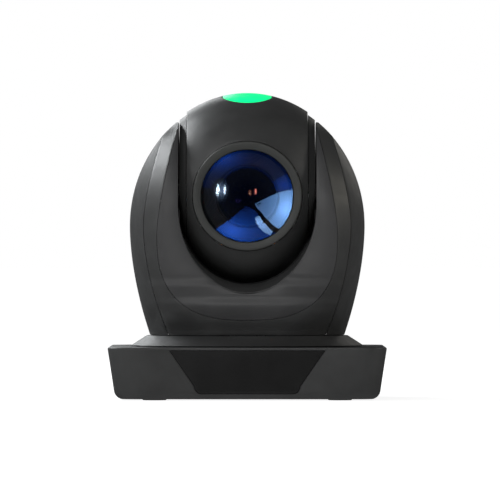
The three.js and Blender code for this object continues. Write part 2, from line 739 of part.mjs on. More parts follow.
// A pancake motor that stands on the floor plate.
function makePanMotor() {
  const top = floorTop + GAP + 13;
  return rod(PAN_MOTOR_RADIUS, floorTop + GAP, top, 'z', 32)
    .subtract(rod(2.3, 0, floorTop + 6, 'z', 16));
}

function makeMotorPulley() {
  const shaftTop = floorTop + 4;
  return rod(MOTOR_PULLEY_RADIUS, motorPulleyBottom, motorPulleyBottom + PULLEY_HEIGHT, 'z', 24)
    .add(rod(2, motorPulleyBottom + 1, shaftTop, 'z', 16));
}

const pulleyPlane = () => cheekOutside + 3 * GAP;
const TILT_PULLEY_WIDTH = 3.8;
const motorFace = () => pulleyPlane() + TILT_PULLEY_WIDTH + 3 * GAP;
const tiltPulleyRadius = MOTOR_PULLEY_RADIUS * TILT_RATIO;

const makeTiltBearing = () =>
  tube(SHAFT_RADIUS + GAP, BEARING_RADIUS, cheekInside, cheekOutside + GAP, 'x');

// A flat motor in the left arm, with ears for its two posts.
function makeTiltMotor() {
  const face = motorFace();
  return rod(TILT_MOTOR_RADIUS, face, face + TILT_MOTOR_LENGTH, 'x', 32)
    .add(block([face, -20, -3.4], [face + 1.6, 20, 3.4]))
    .subtract(rod(2.3, face - 1, face + 4, 'x', 16));
}

function makeTiltMotorPulley() {
  const plane = pulleyPlane();
  return rod(MOTOR_PULLEY_RADIUS, plane, plane + TILT_PULLEY_WIDTH, 'x', 24)
    .add(rod(2, plane + 1, motorFace() + 3, 'x', 16));
}

function makeTiltBelt() {
  const height = TILT_PULLEY_WIDTH - 0.4;
  return makeBelt(tiltPulleyRadius, MOTOR_PULLEY_RADIUS, TILT_AXIS - TILT_MOTOR_HEIGHT, height)
    .rotate([90, 0, 90])
    .translate([pulleyPlane() + 0.2, 0, 0]);
}

// ----------------------------------------------------------------- head pieces
// All of these are modelled about the tilt axis.
// Half height of the head over and under its middle, at a place across it.
const crownAt = (x, inset) => {
  const drop = CROWN_RISE * (1 - Math.sqrt(1 - (x / CROWN_HALF_WIDTH) ** 2));
  return HEAD_RADIUS - drop - inset;
};
const bowlAt = (x, inset, half) => {
  const reach = Math.sqrt(Math.max(0, 1 - (x / (half + 0.01)) ** 2));
  return BOWL_EDGE - inset * 0.5 + (HEAD_RADIUS - BOWL_EDGE - inset * 0.5) * reach;
};

// One slice of the head across X, as a loop in the YZ plane.
function headSlice(x, inset, half, step) {
  const top = crownAt(Math.abs(x), inset) - step;
  const low = bowlAt(Math.abs(x), inset, half);
  const fullness = { front: 2.6, rear: 2.2, crown: 2.1 };
  const steps = 32;
  return range(steps, (i) => {
    const angle = (i / steps) * 2 * Math.PI;
    const [c, s] = [Math.cos(angle), Math.sin(angle)];
    const upper = s >= 0;
    const frontal = c < 0;
    const power = upper ? fullness.crown : (frontal ? fullness.front : fullness.rear);
    const y = Math.sign(c) * top * Math.abs(c) ** (2 / power);
    const z = Math.sign(s) * (upper ? top : low) * Math.abs(s) ** (2 / power);
    return [x, y, z + HEAD_LIFT];
  });
}

function headForm(inset, half, step = 0) {
  const fractions = [0, 0.3, 0.56, 0.76, 0.9, 0.97, 1];
  const places = [...fractions.slice(1).map((f) => -f * half).reverse(), ...fractions.map((f) => f * half)];
  return skin(places.map((x) => headSlice(x, inset, half, step)))
    .intersect(block([-99, -BEZEL_FRONT + 3 + inset, -99], [99, 99, 99]));
}

function headHollow() {
  return headForm(HEAD_SKIN, HEAD_HALF_WIDTH - HEAD_SKIN, COVER_STEP);
}

function tallyOutline(margin) {
  return range(24, (i) => {
    const angle = (i / 24) * 2 * Math.PI;
    return [
      (TALLY_HALF_WIDTH + margin) * Math.cos(angle),
      (TALLY_HALF_LENGTH + margin) * Math.sin(angle) - TALLY_FORWARD,
    ];
  });
}

function headMiddle() {
  const lensHole = rod(BEZEL_RADIUS + GAP, -99, -20, 'y', 36);
  return headForm(0, HEAD_HALF_WIDTH)
    .subtract(headHollow())
    .intersect(block([-COVER_SEAM + GAP / 2, -99, -99], [COVER_SEAM - GAP / 2, 99, 99]))
    .subtract(lensHole)
    .subtract(upPrism(tallyOutline(GAP / 2), 20, 99));
}

const HEAD_SPLIT = 10;           // joint between the head's front and back shells

const makeHeadFront = (middle) => middle.intersect(block([-99, -99, -99], [99, HEAD_SPLIT - GAP / 2, 99]));
const makeHeadRear = (middle) => middle.intersect(block([-99, HEAD_SPLIT + GAP / 2, -99], [99, 99, 99]));

function makeHeadCover() {
  return headForm(0, HEAD_HALF_WIDTH, COVER_STEP)
    .subtract(headHollow())
    .intersect(block([COVER_SEAM + GAP / 2, -99, -99], [99, 99, 99]))
    .subtract(rod(SHAFT_RADIUS + GAP, 0, 99, 'x'));
}

function makeTallyWindow() {
  return headForm(0, HEAD_HALF_WIDTH)
    .subtract(headForm(HEAD_SKIN, HEAD_HALF_WIDTH - HEAD_SKIN))
    .intersect(upPrism(tallyOutline(-GAP / 2), 20, 99));
}

const TALLY_BOARD_UNDER = 14;    // its board lies this far under the crown

function makeTallyBoard() {
  const top = HEAD_LIFT + HEAD_RADIUS - TALLY_BOARD_UNDER;
  let board = block([-11, -20, top - 1.4], [11, 4, top]);
  for (const x of [-6, 0, 6]) board = board.add(block([x - 1.5, -10, top - 0.1], [x + 1.5, -7, top + 1.2]));
  return board;
}

function makeBezel() {
  const front = -BEZEL_FRONT;
  const inner = GLASS_RADIUS + GAP;
  return turned([
    [inner, front + 1.2],
    [inner + 0.8, front],
    [BEZEL_RADIUS - 0.8, front],
    [BEZEL_RADIUS, front + 0.8],
    [BEZEL_RADIUS, front + BEZEL_DEPTH],
    [inner, front + BEZEL_DEPTH],
  ], 36, 'y');
}

// A meniscus: both faces bulge forward.
function makeFrontGlass() {
  const rise = 4.2;
  const thickness = 3;
  const rim = -BEZEL_FRONT + 1;
  const dome = (i, back) => {
    const share = i / 5;
    return [GLASS_RADIUS * share, rim + back - rise * (1 - share ** 2)];
  };
  const outer = range(6, (i) => dome(i, 0));
  const inner = range(6, (i) => dome(5 - i, thickness));
  return turned([...outer, ...inner], 28, 'y');
}

const barrelFront = -BEZEL_FRONT + BEZEL_DEPTH + GAP;
const blockRear = HEAD_RADIUS - 22.8;
const housingHalf = BARREL_RADIUS + 0.6;
const ZOOM_REST = -18;
const FOCUS_REST = 2;

// The lens block: a tube in front and a square housing behind, bored through.
function makeLensBlock() {
  const bore = BARREL_RADIUS - BARREL_WALL;
  const housing = block(
    [-housingHalf, -BARREL_REAR, -housingHalf],
    [housingHalf, blockRear, housingHalf],
  );
  let body = tube(bore, BARREL_RADIUS, barrelFront, -BARREL_REAR + 1, 'y', 36)
    .add(housing)
    .subtract(rod(bore, -60, blockRear - 6, 'y', 36))
    .subtract(block([-8, blockRear - 7, -6], [8, blockRear + 1, 6]));
  for (const side of [-1, 1]) {
    const hole = rod(ROD_RADIUS + GAP, -60, blockRear - 2, 'y', 12);
    body = body.subtract(hole.translate([side * rodPlace, 0, 0]));
  }
  return body;
}

const rodPlace = BARREL_RADIUS - BARREL_WALL - 3;

const makeGuideRod = () => rod(ROD_RADIUS, barrelFront + 1, blockRear - 2 - GAP, 'y', 12);

// A lens in its carriage, with a hole for each guide rod.
function makeLensGroup(radius, thickness) {
  let group = rod(radius, 0, thickness, 'y', 28)
    .add(block([-rodPlace - 2.2, 0, -3], [rodPlace + 2.2, thickness, 3]));
  for (const side of [-1, 1]) {
    group = group.subtract(rod(ROD_RADIUS + GAP, -9, 20, 'y', 12).translate([side * rodPlace, 0, 0]));
  }
  return group;
}

function makeSensorBoard() {
  const [halfX, halfZ] = [housingHalf - 4, housingHalf - 6];
  const face = blockRear + GAP;
  return block([-halfX, face, -halfZ], [halfX, face + 1.6, halfZ])
    .add(block([-7, blockRear - 3, -5], [7, blockRear + 1, 5]));
}

const bracketInside = housingHalf + 1;
const bracketOutside = bracketInside + 2;
const bracketTop = housingHalf + GAP;

// A bracket that carries the lens block between the two shafts.
function makeHeadFrame() {
  const cheek = () => block([bracketInside, -15, -bracketTop - 2], [bracketOutside, 15, 15])
    .subtract(rod(SHAFT_BORE, 0, 99, 'x', 24));
  return block([-bracketOutside, -15, -bracketTop - 2], [bracketOutside, 15, -bracketTop])
    .add(cheek())
    .add(mirrorX(cheek()));
}

const shaftStart = bracketOutside + GAP;

function makeShaft(length) {
  return tube(SHAFT_BORE, 11, shaftStart, shaftStart + 1.8, 'x', 32)
    .add(tube(SHAFT_BORE, SHAFT_RADIUS, shaftStart + 1, length, 'x', 32));
}

const makeTiltPulley = () => tube(
  SHAFT_RADIUS + GAP,
  tiltPulleyRadius,
  pulleyPlane(),
  pulleyPlane() + TILT_PULLEY_WIDTH,
  'x',
  28,
);

// -------------------------------------------------------------------- assembly
const camera = new THREE.Group();

function addBase() {
  const base = new THREE.Group();
  base.add(piece('base_shell', makeBaseShell(), CHARCOAL));
  base.add(piece('front_window', makeFrontWindow(), SMOKED));
  base.add(piece('bottom_plate', makeBottomPlate(), BLACK));
  base.add(piece('tripod_insert', makeTripodInsert(), BRASS));
  footPlaces().forEach(([x, y], i) => {
    base.add(piece(`foot_${i + 1}`, makeFoot(), RUBBER, [x, y, 0]));
  });
  base.add(piece('ring', makeRing(), CHARCOAL));
  base.add(piece('pan_post', makePanPost(), STEEL));
  base.add(piece('pan_nut', makePanNut(), STEEL));
  base.add(piece('pan_fixed_pulley', makePanPulley(), NYLON));
  base.add(piece('rear_panel', makeRearPanel(), BLACK));
  base.add(piece('main_board', makeMainBoard(), BOARD_GREEN));
  base.add(piece('receiver_board', makeReceiverBoard(), BOARD_GREEN));
  for (const socket of sockets) {
    base.add(piece(socket.name, makeSocket(socket).scale(rowScale), STEEL, socketPlace(socket)));
  }
  base.add(piece('switch_body', makeSwitchBody(), BLACK, [switchX, switchPlane, switchHeight]));
  [-1, 1].forEach((side, i) => {
    const place = [switchX + side * switchPitch / 2, switchPlane, switchHeight];
    base.add(piece(`switch_lever_${i + 1}`, makeSwitchLever(), NYLON, place));
  });
  camera.add(base);
}

function addFork() {
  const fork = new THREE.Group();
  const whole = forkSkin();
  fork.add(piece('fork_frame', makeForkFrame(), STEEL));
  fork.add(piece('saddle', makeSaddle(), CHARCOAL));
  fork.add(piece('u_panel', makePanel(whole), PANEL_GREY));
  fork.add(piece('fork_front_shell', makeFrontShell(whole), CHARCOAL));
  fork.add(piece('fork_rear_shell', makeRearShell(whole), CHARCOAL));
  fork.add(piece('right_side_cover', makeSideCover(whole), CHARCOAL));
  fork.add(piece('left_side_cover', mirrorX(makeSideCover(whole)), CHARCOAL));
  fork.add(piece('pan_bearing', makePanBearing(), STEEL));
  fork.add(piece('pan_motor', makePanMotor(), STEEL, [0, PAN_MOTOR_DISTANCE, 0]));
  fork.add(piece('pan_motor_pulley', makeMotorPulley(), BRASS, [0, PAN_MOTOR_DISTANCE, 0]));
  const belt = makeBelt(panPulleyRadius, MOTOR_PULLEY_RADIUS, PAN_MOTOR_DISTANCE, PULLEY_HEIGHT - 0.4);
  fork.add(piece('pan_belt', belt.rotate([0, 0, 180]), RUBBER, [0, 0, pulleyBottom + 0.2]));
  const tilt = new THREE.Group();
  tilt.position.z = TILT_AXIS;
  const drop = TILT_MOTOR_HEIGHT - TILT_AXIS;
  tilt.add(piece('right_tilt_bearing', makeTiltBearing(), STEEL));
  tilt.add(piece('left_tilt_bearing', mirrorX(makeTiltBearing()), STEEL));
  tilt.add(piece('tilt_motor', mirrorX(makeTiltMotor()), STEEL, [0, 0, drop]));
  tilt.add(piece('tilt_motor_pulley', mirrorX(makeTiltMotorPulley()), BRASS, [0, 0, drop]));
  tilt.add(piece('tilt_belt', mirrorX(makeTiltBelt()), RUBBER));
  fork.add(tilt);
  camera.add(fork);
}

function addHead() {
  const head = new THREE.Group();
  head.position.z = TILT_AXIS;
  const middle = headMiddle();
  head.add(piece('head_front_shell', makeHeadFront(middle), CHARCOAL));
  head.add(piece('head_rear_shell', makeHeadRear(middle), CHARCOAL));
  head.add(piece('right_head_cover', makeHeadCover(), CHARCOAL));
  head.add(piece('left_head_cover', mirrorX(makeHeadCover()), CHARCOAL));
  head.add(piece('tally_window', makeTallyWindow(), TALLY_GREEN));
  head.add(piece('tally_board', makeTallyBoard(), BOARD_GREEN));
  head.add(piece('lens_bezel', makeBezel(), PANEL_GREY));
  head.add(piece('front_glass', makeFrontGlass(), GLASS));
  head.add(piece('lens_block', makeLensBlock(), BLACK));
  head.add(piece('right_guide_rod', makeGuideRod(), STEEL, [rodPlace, 0, 0]));
  head.add(piece('left_guide_rod', makeGuideRod(), STEEL, [-rodPlace, 0, 0]));
  head.add(piece('zoom_group', makeLensGroup(rodPlace - 1, 5), GLASS, [0, ZOOM_REST - GROUP_TRAVEL, 0]));
  head.add(piece('focus_group', makeLensGroup(rodPlace - 4, 4), GLASS, [0, FOCUS_REST, 0]));
  head.add(piece('sensor_board', makeSensorBoard(), BOARD_GREEN));
  head.add(piece('head_frame', makeHeadFrame(), STEEL));
  head.add(piece('right_shaft', makeShaft(cheekOutside + 3), STEEL));
  head.add(piece('left_shaft', mirrorX(makeShaft(pulleyPlane() + TILT_PULLEY_WIDTH)), STEEL));
  head.add(piece('tilt_pulley', mirrorX(makeTiltPulley()), NYLON));
  camera.add(head);
}

addBase();
addFork();
addHead();

export default camera;
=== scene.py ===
# %% [markdown]
# # A pan-tilt-zoom conference camera
# This lesson builds the finished surface of each visible piece round that frame, gives every
# part its finish, and lights it.

# %% Load the frame
import json
import math
import bmesh
import bpy
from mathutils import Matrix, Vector


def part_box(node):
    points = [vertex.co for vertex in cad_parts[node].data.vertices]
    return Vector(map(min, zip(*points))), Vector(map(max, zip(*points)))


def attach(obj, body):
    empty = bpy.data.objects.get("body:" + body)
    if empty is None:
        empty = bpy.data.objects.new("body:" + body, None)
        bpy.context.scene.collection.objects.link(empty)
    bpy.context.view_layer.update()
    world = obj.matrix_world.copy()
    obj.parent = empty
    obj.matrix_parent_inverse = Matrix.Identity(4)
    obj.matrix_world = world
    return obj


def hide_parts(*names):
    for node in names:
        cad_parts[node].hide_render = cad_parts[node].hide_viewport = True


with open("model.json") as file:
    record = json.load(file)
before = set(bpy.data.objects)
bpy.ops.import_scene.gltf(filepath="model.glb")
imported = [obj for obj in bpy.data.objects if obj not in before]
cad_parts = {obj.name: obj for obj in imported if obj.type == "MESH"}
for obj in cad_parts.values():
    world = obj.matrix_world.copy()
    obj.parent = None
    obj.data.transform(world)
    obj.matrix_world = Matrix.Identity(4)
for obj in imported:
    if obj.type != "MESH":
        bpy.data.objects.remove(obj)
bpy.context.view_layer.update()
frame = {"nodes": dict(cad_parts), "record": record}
nodes = frame["nodes"]
bodies = frame["record"]["behaviour"]["bodies"]
body_of_node = {node: body for body, members in bodies.items() for node in members}

# %% [markdown]
# ## Camera
# The camera stands level and far away behind a long lens, so that the front looks almost flat.
# It is made first, because everything else is judged through it.

# %% Make the camera
MM = 0.001
joints = {joint["name"]: joint for joint in frame["record"]["behaviour"]["joints"]}
TILT_AXIS = joints["tilt"]["pos_m"][2] / MM
bpy.ops.object.camera_add(location=(1.5 * MM, -4.4, 80.9 * MM), rotation=(math.radians(90), 0, 0))
camera = bpy.context.object
camera.data.sensor_width = 36
camera.data.lens = 581
camera.data.clip_end = 100
bpy.context.scene.camera = camera
print("camera at", tuple(camera.location))

# %% [markdown]
# ## Tools for modelling
# Every shell here is a loft: a circle of vertices is extruded again and again, and each new ring
# is laid on the next outline. Millimetres are easier to think in, so outlines are written in
# them and scaled as they are used. What a shell needs cut away is made as a second solid and
# taken off with a Boolean modifier, which is applied at once.


# %% Helpers: selection and edit mode
def deselect():
    bpy.ops.object.select_all(action="DESELECT")


def make_active(piece):
    deselect()
    piece.select_set(True)
    bpy.context.view_layer.objects.active = piece


def edit(piece):
    make_active(piece)
    bpy.ops.object.mode_set(mode="EDIT")
    return bmesh.from_edit_mesh(piece.data)


def leave_edit():
    bpy.ops.object.mode_set(mode="OBJECT")


def select_all(action="SELECT"):
    bpy.ops.mesh.select_all(action=action)


def named(piece, name):
    piece.name = name
    piece.data.name = name
    return piece


def box_mm(node):
    """The lower and upper corner of a part of the frame, in millimetres."""
    return [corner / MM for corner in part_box(node)]


# %% Helpers: lofts
def ring_of(name, points):
    """A ring of edges through (x, y, z) points in millimetres."""
    deselect()
    bpy.ops.mesh.primitive_circle_add(vertices=len(points), radius=1)
    piece = named(bpy.context.object, name)
    for vertex, point in zip(piece.data.vertices, points):
        vertex.co = Vector(point) * MM
    return piece


def loft(name, rings):
    """A closed solid through rings of points."""
    piece = ring_of(name, rings[0])
    mesh = edit(piece)
    mesh.verts.ensure_lookup_table()
    current = list(mesh.verts)
    for ring in rings[1:]:
        place = {tuple(v.co): i for i, v in enumerate(current)}
        select_all("DESELECT")
        for a, b in zip(current, current[1:] + current[:1]):
            mesh.edges.get((a, b)).select_set(True)
        bpy.ops.mesh.extrude_edges_move()
        mesh = bmesh.from_edit_mesh(piece.data)
        fresh = [v for v in mesh.verts if v.select]
        following = [None] * len(ring)
        for vertex in fresh:
            following[place[tuple(vertex.co)]] = vertex
        for vertex, point in zip(following, ring):
            vertex.co = Vector(point) * MM
        current = following
    select_all()
    bpy.ops.mesh.fill_holes(sides=0)
    select_all()
    bpy.ops.mesh.normals_make_consistent(inside=False)
    leave_edit()
    return piece


def front_prism(name, outline, y_from, y_to):
    """A front-view outline of (x, z) points, drawn from one depth to another."""
    return loft(name, [[(x, y, z) for x, z in outline] for y in (y_from, y_to)])


def up_prism(name, outline, z_from, z_to):
    return loft(name, [[(x, y, z) for x, y in outline] for z in (z_from, z_to)])


def side_prism(name, outline, x_from, x_to):
    return loft(name, [[(x, y, z) for y, z in outline] for x in (x_from, x_to)])


def block(name, low, high):
    outline = [(low[0], low[1]), (high[0], low[1]), (high[0], high[1]), (low[0], high[1])]
    return up_prism(name, outline, low[2], high[2])


def oval(centre, wide, high, count):
    turn = 2 * math.pi / count
    return [(centre[0] + wide * math.cos(i * turn), centre[1] + high * math.sin(i * turn))
            for i in range(count)]


def circle(radius, count=96, centre=(0, 0)):
    return oval(centre, radius, radius, count)


def on_axis(radius, count=64):
    """A circle round the tilt axis, or round the lens axis, which crosses it."""
    return circle(radius, count, (0, TILT_AXIS))


def both_sides(right):
    """The right half of an outline, closed by its mirror image."""
    return right + [(-x, z) for x, z in reversed(right)]


# %% Helpers: cuts and finishing
MERGE = 1e-6


def combine(piece, tool, operation):
    modifier = piece.modifiers.new("cut", "BOOLEAN")
    modifier.operation = operation
    modifier.solver = "EXACT"
    modifier.object = tool
    make_active(piece)
    bpy.ops.object.modifier_apply(modifier=modifier.name)
    bpy.data.objects.remove(tool)
    return piece


def cut(piece, tool):
    return combine(piece, tool, "DIFFERENCE")


def common(piece, tool):
    return combine(piece, tool, "INTERSECT")


def copy_of(piece, name):
    twin = piece.copy()
    twin.data = piece.data.copy()
    bpy.context.scene.collection.objects.link(twin)
    return named(twin, name)


def tidy_normals():
    select_all()
    bpy.ops.mesh.remove_doubles(threshold=MERGE)
    bpy.ops.mesh.normals_make_consistent(inside=False)


def mirrored(piece, name):
    twin = copy_of(piece, name)
    edit(twin)
    select_all()
    bpy.ops.transform.resize(value=(-1, 1, 1), center_override=(0, 0, 0))
    tidy_normals()
    leave_edit()
    return twin


def soften(piece, width=0.25, angle=35, segments=2):
    """Merge doubles, round the sharp edges a little, and shade the rest smooth."""
    edit(piece)
    select_all()
    bpy.ops.mesh.remove_doubles(threshold=2 * MERGE)
    leave_edit()
    if width:
        modifier = piece.modifiers.new("edge", "BEVEL")
        modifier.width = width * MM
        modifier.segments = segments
        modifier.limit_method = "ANGLE"
        modifier.angle_limit = math.radians(angle)
        modifier.miter_outer = "MITER_ARC"
        make_active(piece)
        bpy.ops.object.modifier_apply(modifier=modifier.name)
    make_active(piece)
    bpy.ops.object.shade_smooth_by_angle(angle=math.radians(angle))
    return piece


def finish_piece(piece, node, material):
    """Give a piece its finish, its body and the part that it stands for."""
    piece.data.materials.clear()
    piece.data.materials.append(material)
    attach(piece, body_of_node[node])
    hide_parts(node)
    print(f"{piece.name}: {len(piece.data.polygons)} faces, stands for {node}")
    return piece


def spun(name, profile, axis="z", steps=96, centre=(0, 0, 0)):
    """A closed profile of (radius, height) points in millimetres, turned round an axis."""
    along = Vector((0, 1, 0)) if axis == "y" else Vector((0, 0, 1))
    out, middle = Vector((1, 0, 0)), Vector(centre)
    piece = ring_of(name, [middle + out * radius + along * height for radius, height in profile])
    edit(piece)
    select_all()
    bpy.ops.mesh.spin(steps=steps, angle=2 * math.pi, center=middle * MM, axis=along)
    tidy_normals()
    leave_edit()
    return piece


def lens_turned(name, profile, steps=128):
    """A profile of (radius, depth) points, turned round the lens axis."""
    return spun(name, profile, "y", steps, (0, 0, TILT_AXIS))


print("modelling tools ready")

# %% [markdown]
# ## Finishes
# Moulded shells of this kind have a fine spark-eroded texture under a satin sheen, so the plastic
# has two scales of bump: a grain of about a third of a millimetre, and a very faint waviness
# several millimetres long, which breaks up the reflections. Its colour drifts a little too.
# All patterns read Object coordinates, because every finished piece sits at the origin.


# %% Material helpers
def new_material(name):
    material = bpy.data.materials.new(name)
    material.use_nodes = True
    tree = material.node_tree
    return material, tree, tree.nodes["Principled BSDF"]


def dial(shader, **values):
    """Set a shader's own sockets; an underscore stands for a space."""
    for name, value in values.items():
        shader.inputs[name.replace("_", " ")].default_value = value


def join(tree, source, output, target, socket):
    tree.links.new(source.outputs[output], target.inputs[socket])


def add(tree, kind, **values):
    node = tree.nodes.new(kind)
    for key, value in values.items():
        if hasattr(node, key):
            setattr(node, key, value)
        else:
            dial(node, **{key: value})
    return node


def noise(tree, scale, detail=3.0, kind="ShaderNodeTexNoise"):
    coordinates = add(tree, "ShaderNodeTexCoord")
    texture = add(tree, kind, Scale=scale)
    if kind == "ShaderNodeTexNoise":
        texture.inputs["Detail"].default_value = detail
    join(tree, coordinates, "Object", texture, "Vector")
    return texture


def paint(tree, texture, stops, shader, socket="Base Color", output="Fac"):
    """A colour ramp from [(position, colour), ...], between a texture and a shader's socket."""
    node = add(tree, "ShaderNodeValToRGB")
    elements = node.color_ramp.elements
    while len(elements) < len(stops):
        elements.new(0.5)
    for element, (position, colour) in zip(elements, stops):
        element.position = position
        element.color = (*colour, 1)
    join(tree, texture, output, node, "Fac")
    join(tree, node, "Color", shader, socket)
    return node


def gloss(tree, texture, low, high, shader):
    paint(tree, texture, [(0.3, (low,) * 3), (0.7, (high,) * 3)], shader, "Roughness")


def bumps(tree, shader, layers, output="Fac"):
    """Stack bump layers of (texture, height in metres)."""
    previous = None
    for texture, height in layers:
        node = add(tree, "ShaderNodeBump", Distance=height, Strength=1.0)
        join(tree, texture, output, node, "Height")
        if previous:
            join(tree, previous, "Normal", node, "Normal")
        previous = node
    join(tree, previous, "Normal", shader, "Normal")


# %% Moulded plastic
def plastic(name, colour, roughness, grain=6e-6, wave=1e-5):
    material, tree, shader = new_material(name)
    patches = noise(tree, 60, 4)
    drift = 0.12
    dark, light = ([c * (1 + side * drift) for c in colour] for side in (-1, 1))
    paint(tree, patches, [(0.3, dark), (0.7, light)], shader)
    rub = noise(tree, 140, 5)
    gloss(tree, rub, roughness * 0.9, roughness * 1.12, shader)
    fine = noise(tree, 3200, 2)
    slow = noise(tree, 90, 2)
    bumps(tree, shader, [(slow, wave), (fine, grain)])
    return material


charcoal = plastic("charcoal satin plastic", (0.032, 0.0325, 0.0325), 0.42)
# Painted light: the head's copy of the charcoal is made a shade lighter than the fork's, to lift
# the shade it sits in.
head_charcoal_painted_lighter = plastic("head satin plastic painted lighter", (0.033, 0.0335, 0.0335), 0.40)
trim_grey = plastic("grey satin trim", (0.036, 0.036, 0.037), 0.42, grain=3e-6)
bezel_grey = plastic("warm grey bezel", (0.029, 0.0305, 0.029), 0.5, grain=3e-6)
smoked = plastic("smoked window", (0.012, 0.012, 0.012), 0.22, grain=5e-7, wave=1.2e-5)
black_plastic = plastic("black moulded plastic", (0.010, 0.010, 0.011), 0.5)
rubber = plastic("rubber", (0.014, 0.014, 0.014), 0.8, grain=1e-5)
nylon = plastic("natural nylon", (0.62, 0.59, 0.52), 0.45)
print("plastics ready")

# %% [markdown]
# Turned metal shows fine rings or a brushed grain, boards have a green mask with copper tracks
# under it, and sockets are nickel plated. These parts are mostly inside, but the sockets show.


# %% Metals and boards
def metal(name, colour, roughness, scratch=700):
    material, tree, shader = new_material(name)
    dial(shader, Metallic=1.0)
    streaks = noise(tree, scratch, 6)
    paint(tree, streaks, [(0.35, [c * 0.82 for c in colour]), (0.65, colour)], shader)
    gloss(tree, streaks, roughness * 0.8, roughness * 1.25, shader)
    bumps(tree, shader, [(streaks, 4e-6)])
    return material


def board(name):
    material, tree, shader = new_material(name)
    tracks = noise(tree, 420, kind="ShaderNodeTexVoronoi")
    tracks.feature = "DISTANCE_TO_EDGE"
    copper_edge, mask = (0.02, 0.11, 0.045), (0.008, 0.05, 0.02)
    paint(tree, tracks, [(0.03, copper_edge), (0.06, mask)], shader, output="Distance")
    dial(shader, Roughness=0.35)
    bumps(tree, shader, [(tracks, 2e-5)], "Distance")
    return material


steel = metal("zinc plated steel", (0.56, 0.57, 0.58), 0.32)
brass = metal("turned brass", (0.66, 0.47, 0.2), 0.28)
nickel = metal("nickel plated socket", (0.62, 0.61, 0.58), 0.25, 1400)
green_board = board("circuit board")
print("metals and boards ready")

# %% [markdown]
# The lens is what the eye goes to. Its front glass is clear, with a coating that throws back blue;
# rings and a darkening towards the middle are painted into that reflection. The surfaces behind it
# are coated too, and between them lies a black barrel with fine grooves that swallow stray light.
# The tally window is a translucent moulding lit from below.


# %% Lens and light materials
def fading(tree, middle, reach, kind):
    """1 at a point in front view, falling to 0 at a distance of reach metres across and up."""
    where = add(tree, "ShaderNodeTexCoord")
    centre = add(tree, "ShaderNodeMapping", Scale=(1 / reach[0], 0, 1 / reach[1]),
                 Location=(-middle[0] / reach[0], 0, -middle[2] / reach[1]))
    fall = add(tree, "ShaderNodeTexGradient", gradient_type=kind)
    join(tree, where, "Object", centre, "Vector")
    join(tree, centre, "Vector", fall, "Vector")
    return fall


def glass_with_painted_rings(name, tint):
    """Clear glass with a blue-tinted coating, whose reflection has painted rings and is painted
    darker towards the middle.
    """
    material, tree, shader = new_material(name)
    reach = 24.6 * MM
    fall = fading(tree, (0, 0, TILT_AXIS * MM), (reach, reach), "SPHERICAL")
    # Painted reflection: the tint is full at the rim, dips in painted rings, and falls to a tenth
    # at the middle.
    stops = [(0.0, 1.0), (0.285, 0.95), (0.30, 0.45), (0.315, 0.72), (0.39, 0.70), (0.405, 0.45),
             (0.42, 0.68), (0.49, 0.62), (0.505, 0.38), (0.52, 0.6), (0.57, 0.55), (0.585, 0.3),
             (0.60, 0.5), (0.65, 0.42), (0.665, 0.2), (0.68, 0.36), (0.74, 0.26), (0.86, 0.10)]
    paint(tree, fall, [(place, [c * v for c in tint]) for place, v in stops], shader,
          "Specular Tint")
    dial(shader, Base_Color=(1, 1, 1, 1), Transmission_Weight=1.0, Roughness=0.01, IOR=1.5,
         Specular_IOR_Level=0.8)
    return material


def deep_coating(name, colour, roughness):
    """A coated inner surface: black under a strongly tinted mirror."""
    material, tree, shader = new_material(name)
    cloud = noise(tree, 50, 2)
    paint(tree, cloud, [(0.35, [c * 0.7 for c in colour]), (0.65, colour)], shader)
    dial(shader, Metallic=1.0, Roughness=roughness)
    return material


def light_window(name):
    material, tree, shader = new_material(name)
    cloud = noise(tree, 90, 3)
    tint = paint(tree, cloud, [(0.3, (0.0, 0.72, 0.20)), (0.7, (0.0, 0.78, 0.24))], shader)
    join(tree, tint, "Color", shader, "Emission Color")
    dial(shader, Emission_Strength=1.0, Roughness=0.3)
    return material


front_glass_painted_rings = glass_with_painted_rings("front glass with painted reflection rings", (0.7, 0.85, 1.0))
blue_coating = deep_coating("deep blue lens coating", (0.002, 0.008, 0.05), 0.08)
violet_coating = deep_coating("violet lens coating", (0.010, 0.005, 0.035), 0.05)
tally_green = light_window("lit tally window")
print("lens materials ready")

# %% [markdown]
# ## Base
# The base is a flared box: every wall leans out towards the top, the bottom edge is rolled under,
# and the deck has a narrow bright chamfer. One loft makes the form at any inset, so the wall is
# the difference between two of them, and the window and its pocket are slices of the same form.

# %% Base sizes, read from the frame
base_low, base_high = box_mm("base_shell")
BASE_HALF = base_high.x
BASE_BOTTOM, BASE_TOP = base_low.z, base_high.z
FLARE, CORNER, ROLL, RIM, WALL = 4, 12, 4.3, 1.0, 2.5
GAP, OUTSIDE, PLATE_INSET, POST_HOLE = 0.3, BASE_HALF + 9, 8, 9.8
WINDOW_TOP, WINDOW_BOTTOM, WINDOW_WIDE, WINDOW_NARROW, WINDOW_CORNER = 27, 3.6, 42, 28.5, 4
POCKET_DEPTH, WINDOW_THICKNESS = 1.9, 1.6
BAY_HALF, BAY_BOTTOM, BAY_TOP = 57, 7, 24
print("base half width", round(BASE_HALF, 2), "deck at", round(BASE_TOP, 2))


# %% The base's form
def quarter_turn(steps):
    """Cosine and sine of evenly spaced angles from 0 to 90 degrees."""
    return [(math.cos(i / steps * math.pi / 2), math.sin(i / steps * math.pi / 2))
            for i in range(steps + 1)]


def rounded_rectangle(half_x, half_y, radius, steps=12):
    points = []
    for corner, (sx, sy) in enumerate(((1, 1), (-1, 1), (-1, -1), (1, -1))):
        for i in range(steps + 1):
            angle = (corner + i / steps) * math.pi / 2
            points.append((sx * (half_x - radius) + radius * math.cos(angle),
                           sy * (half_y - radius) + radius * math.sin(angle)))
    return points


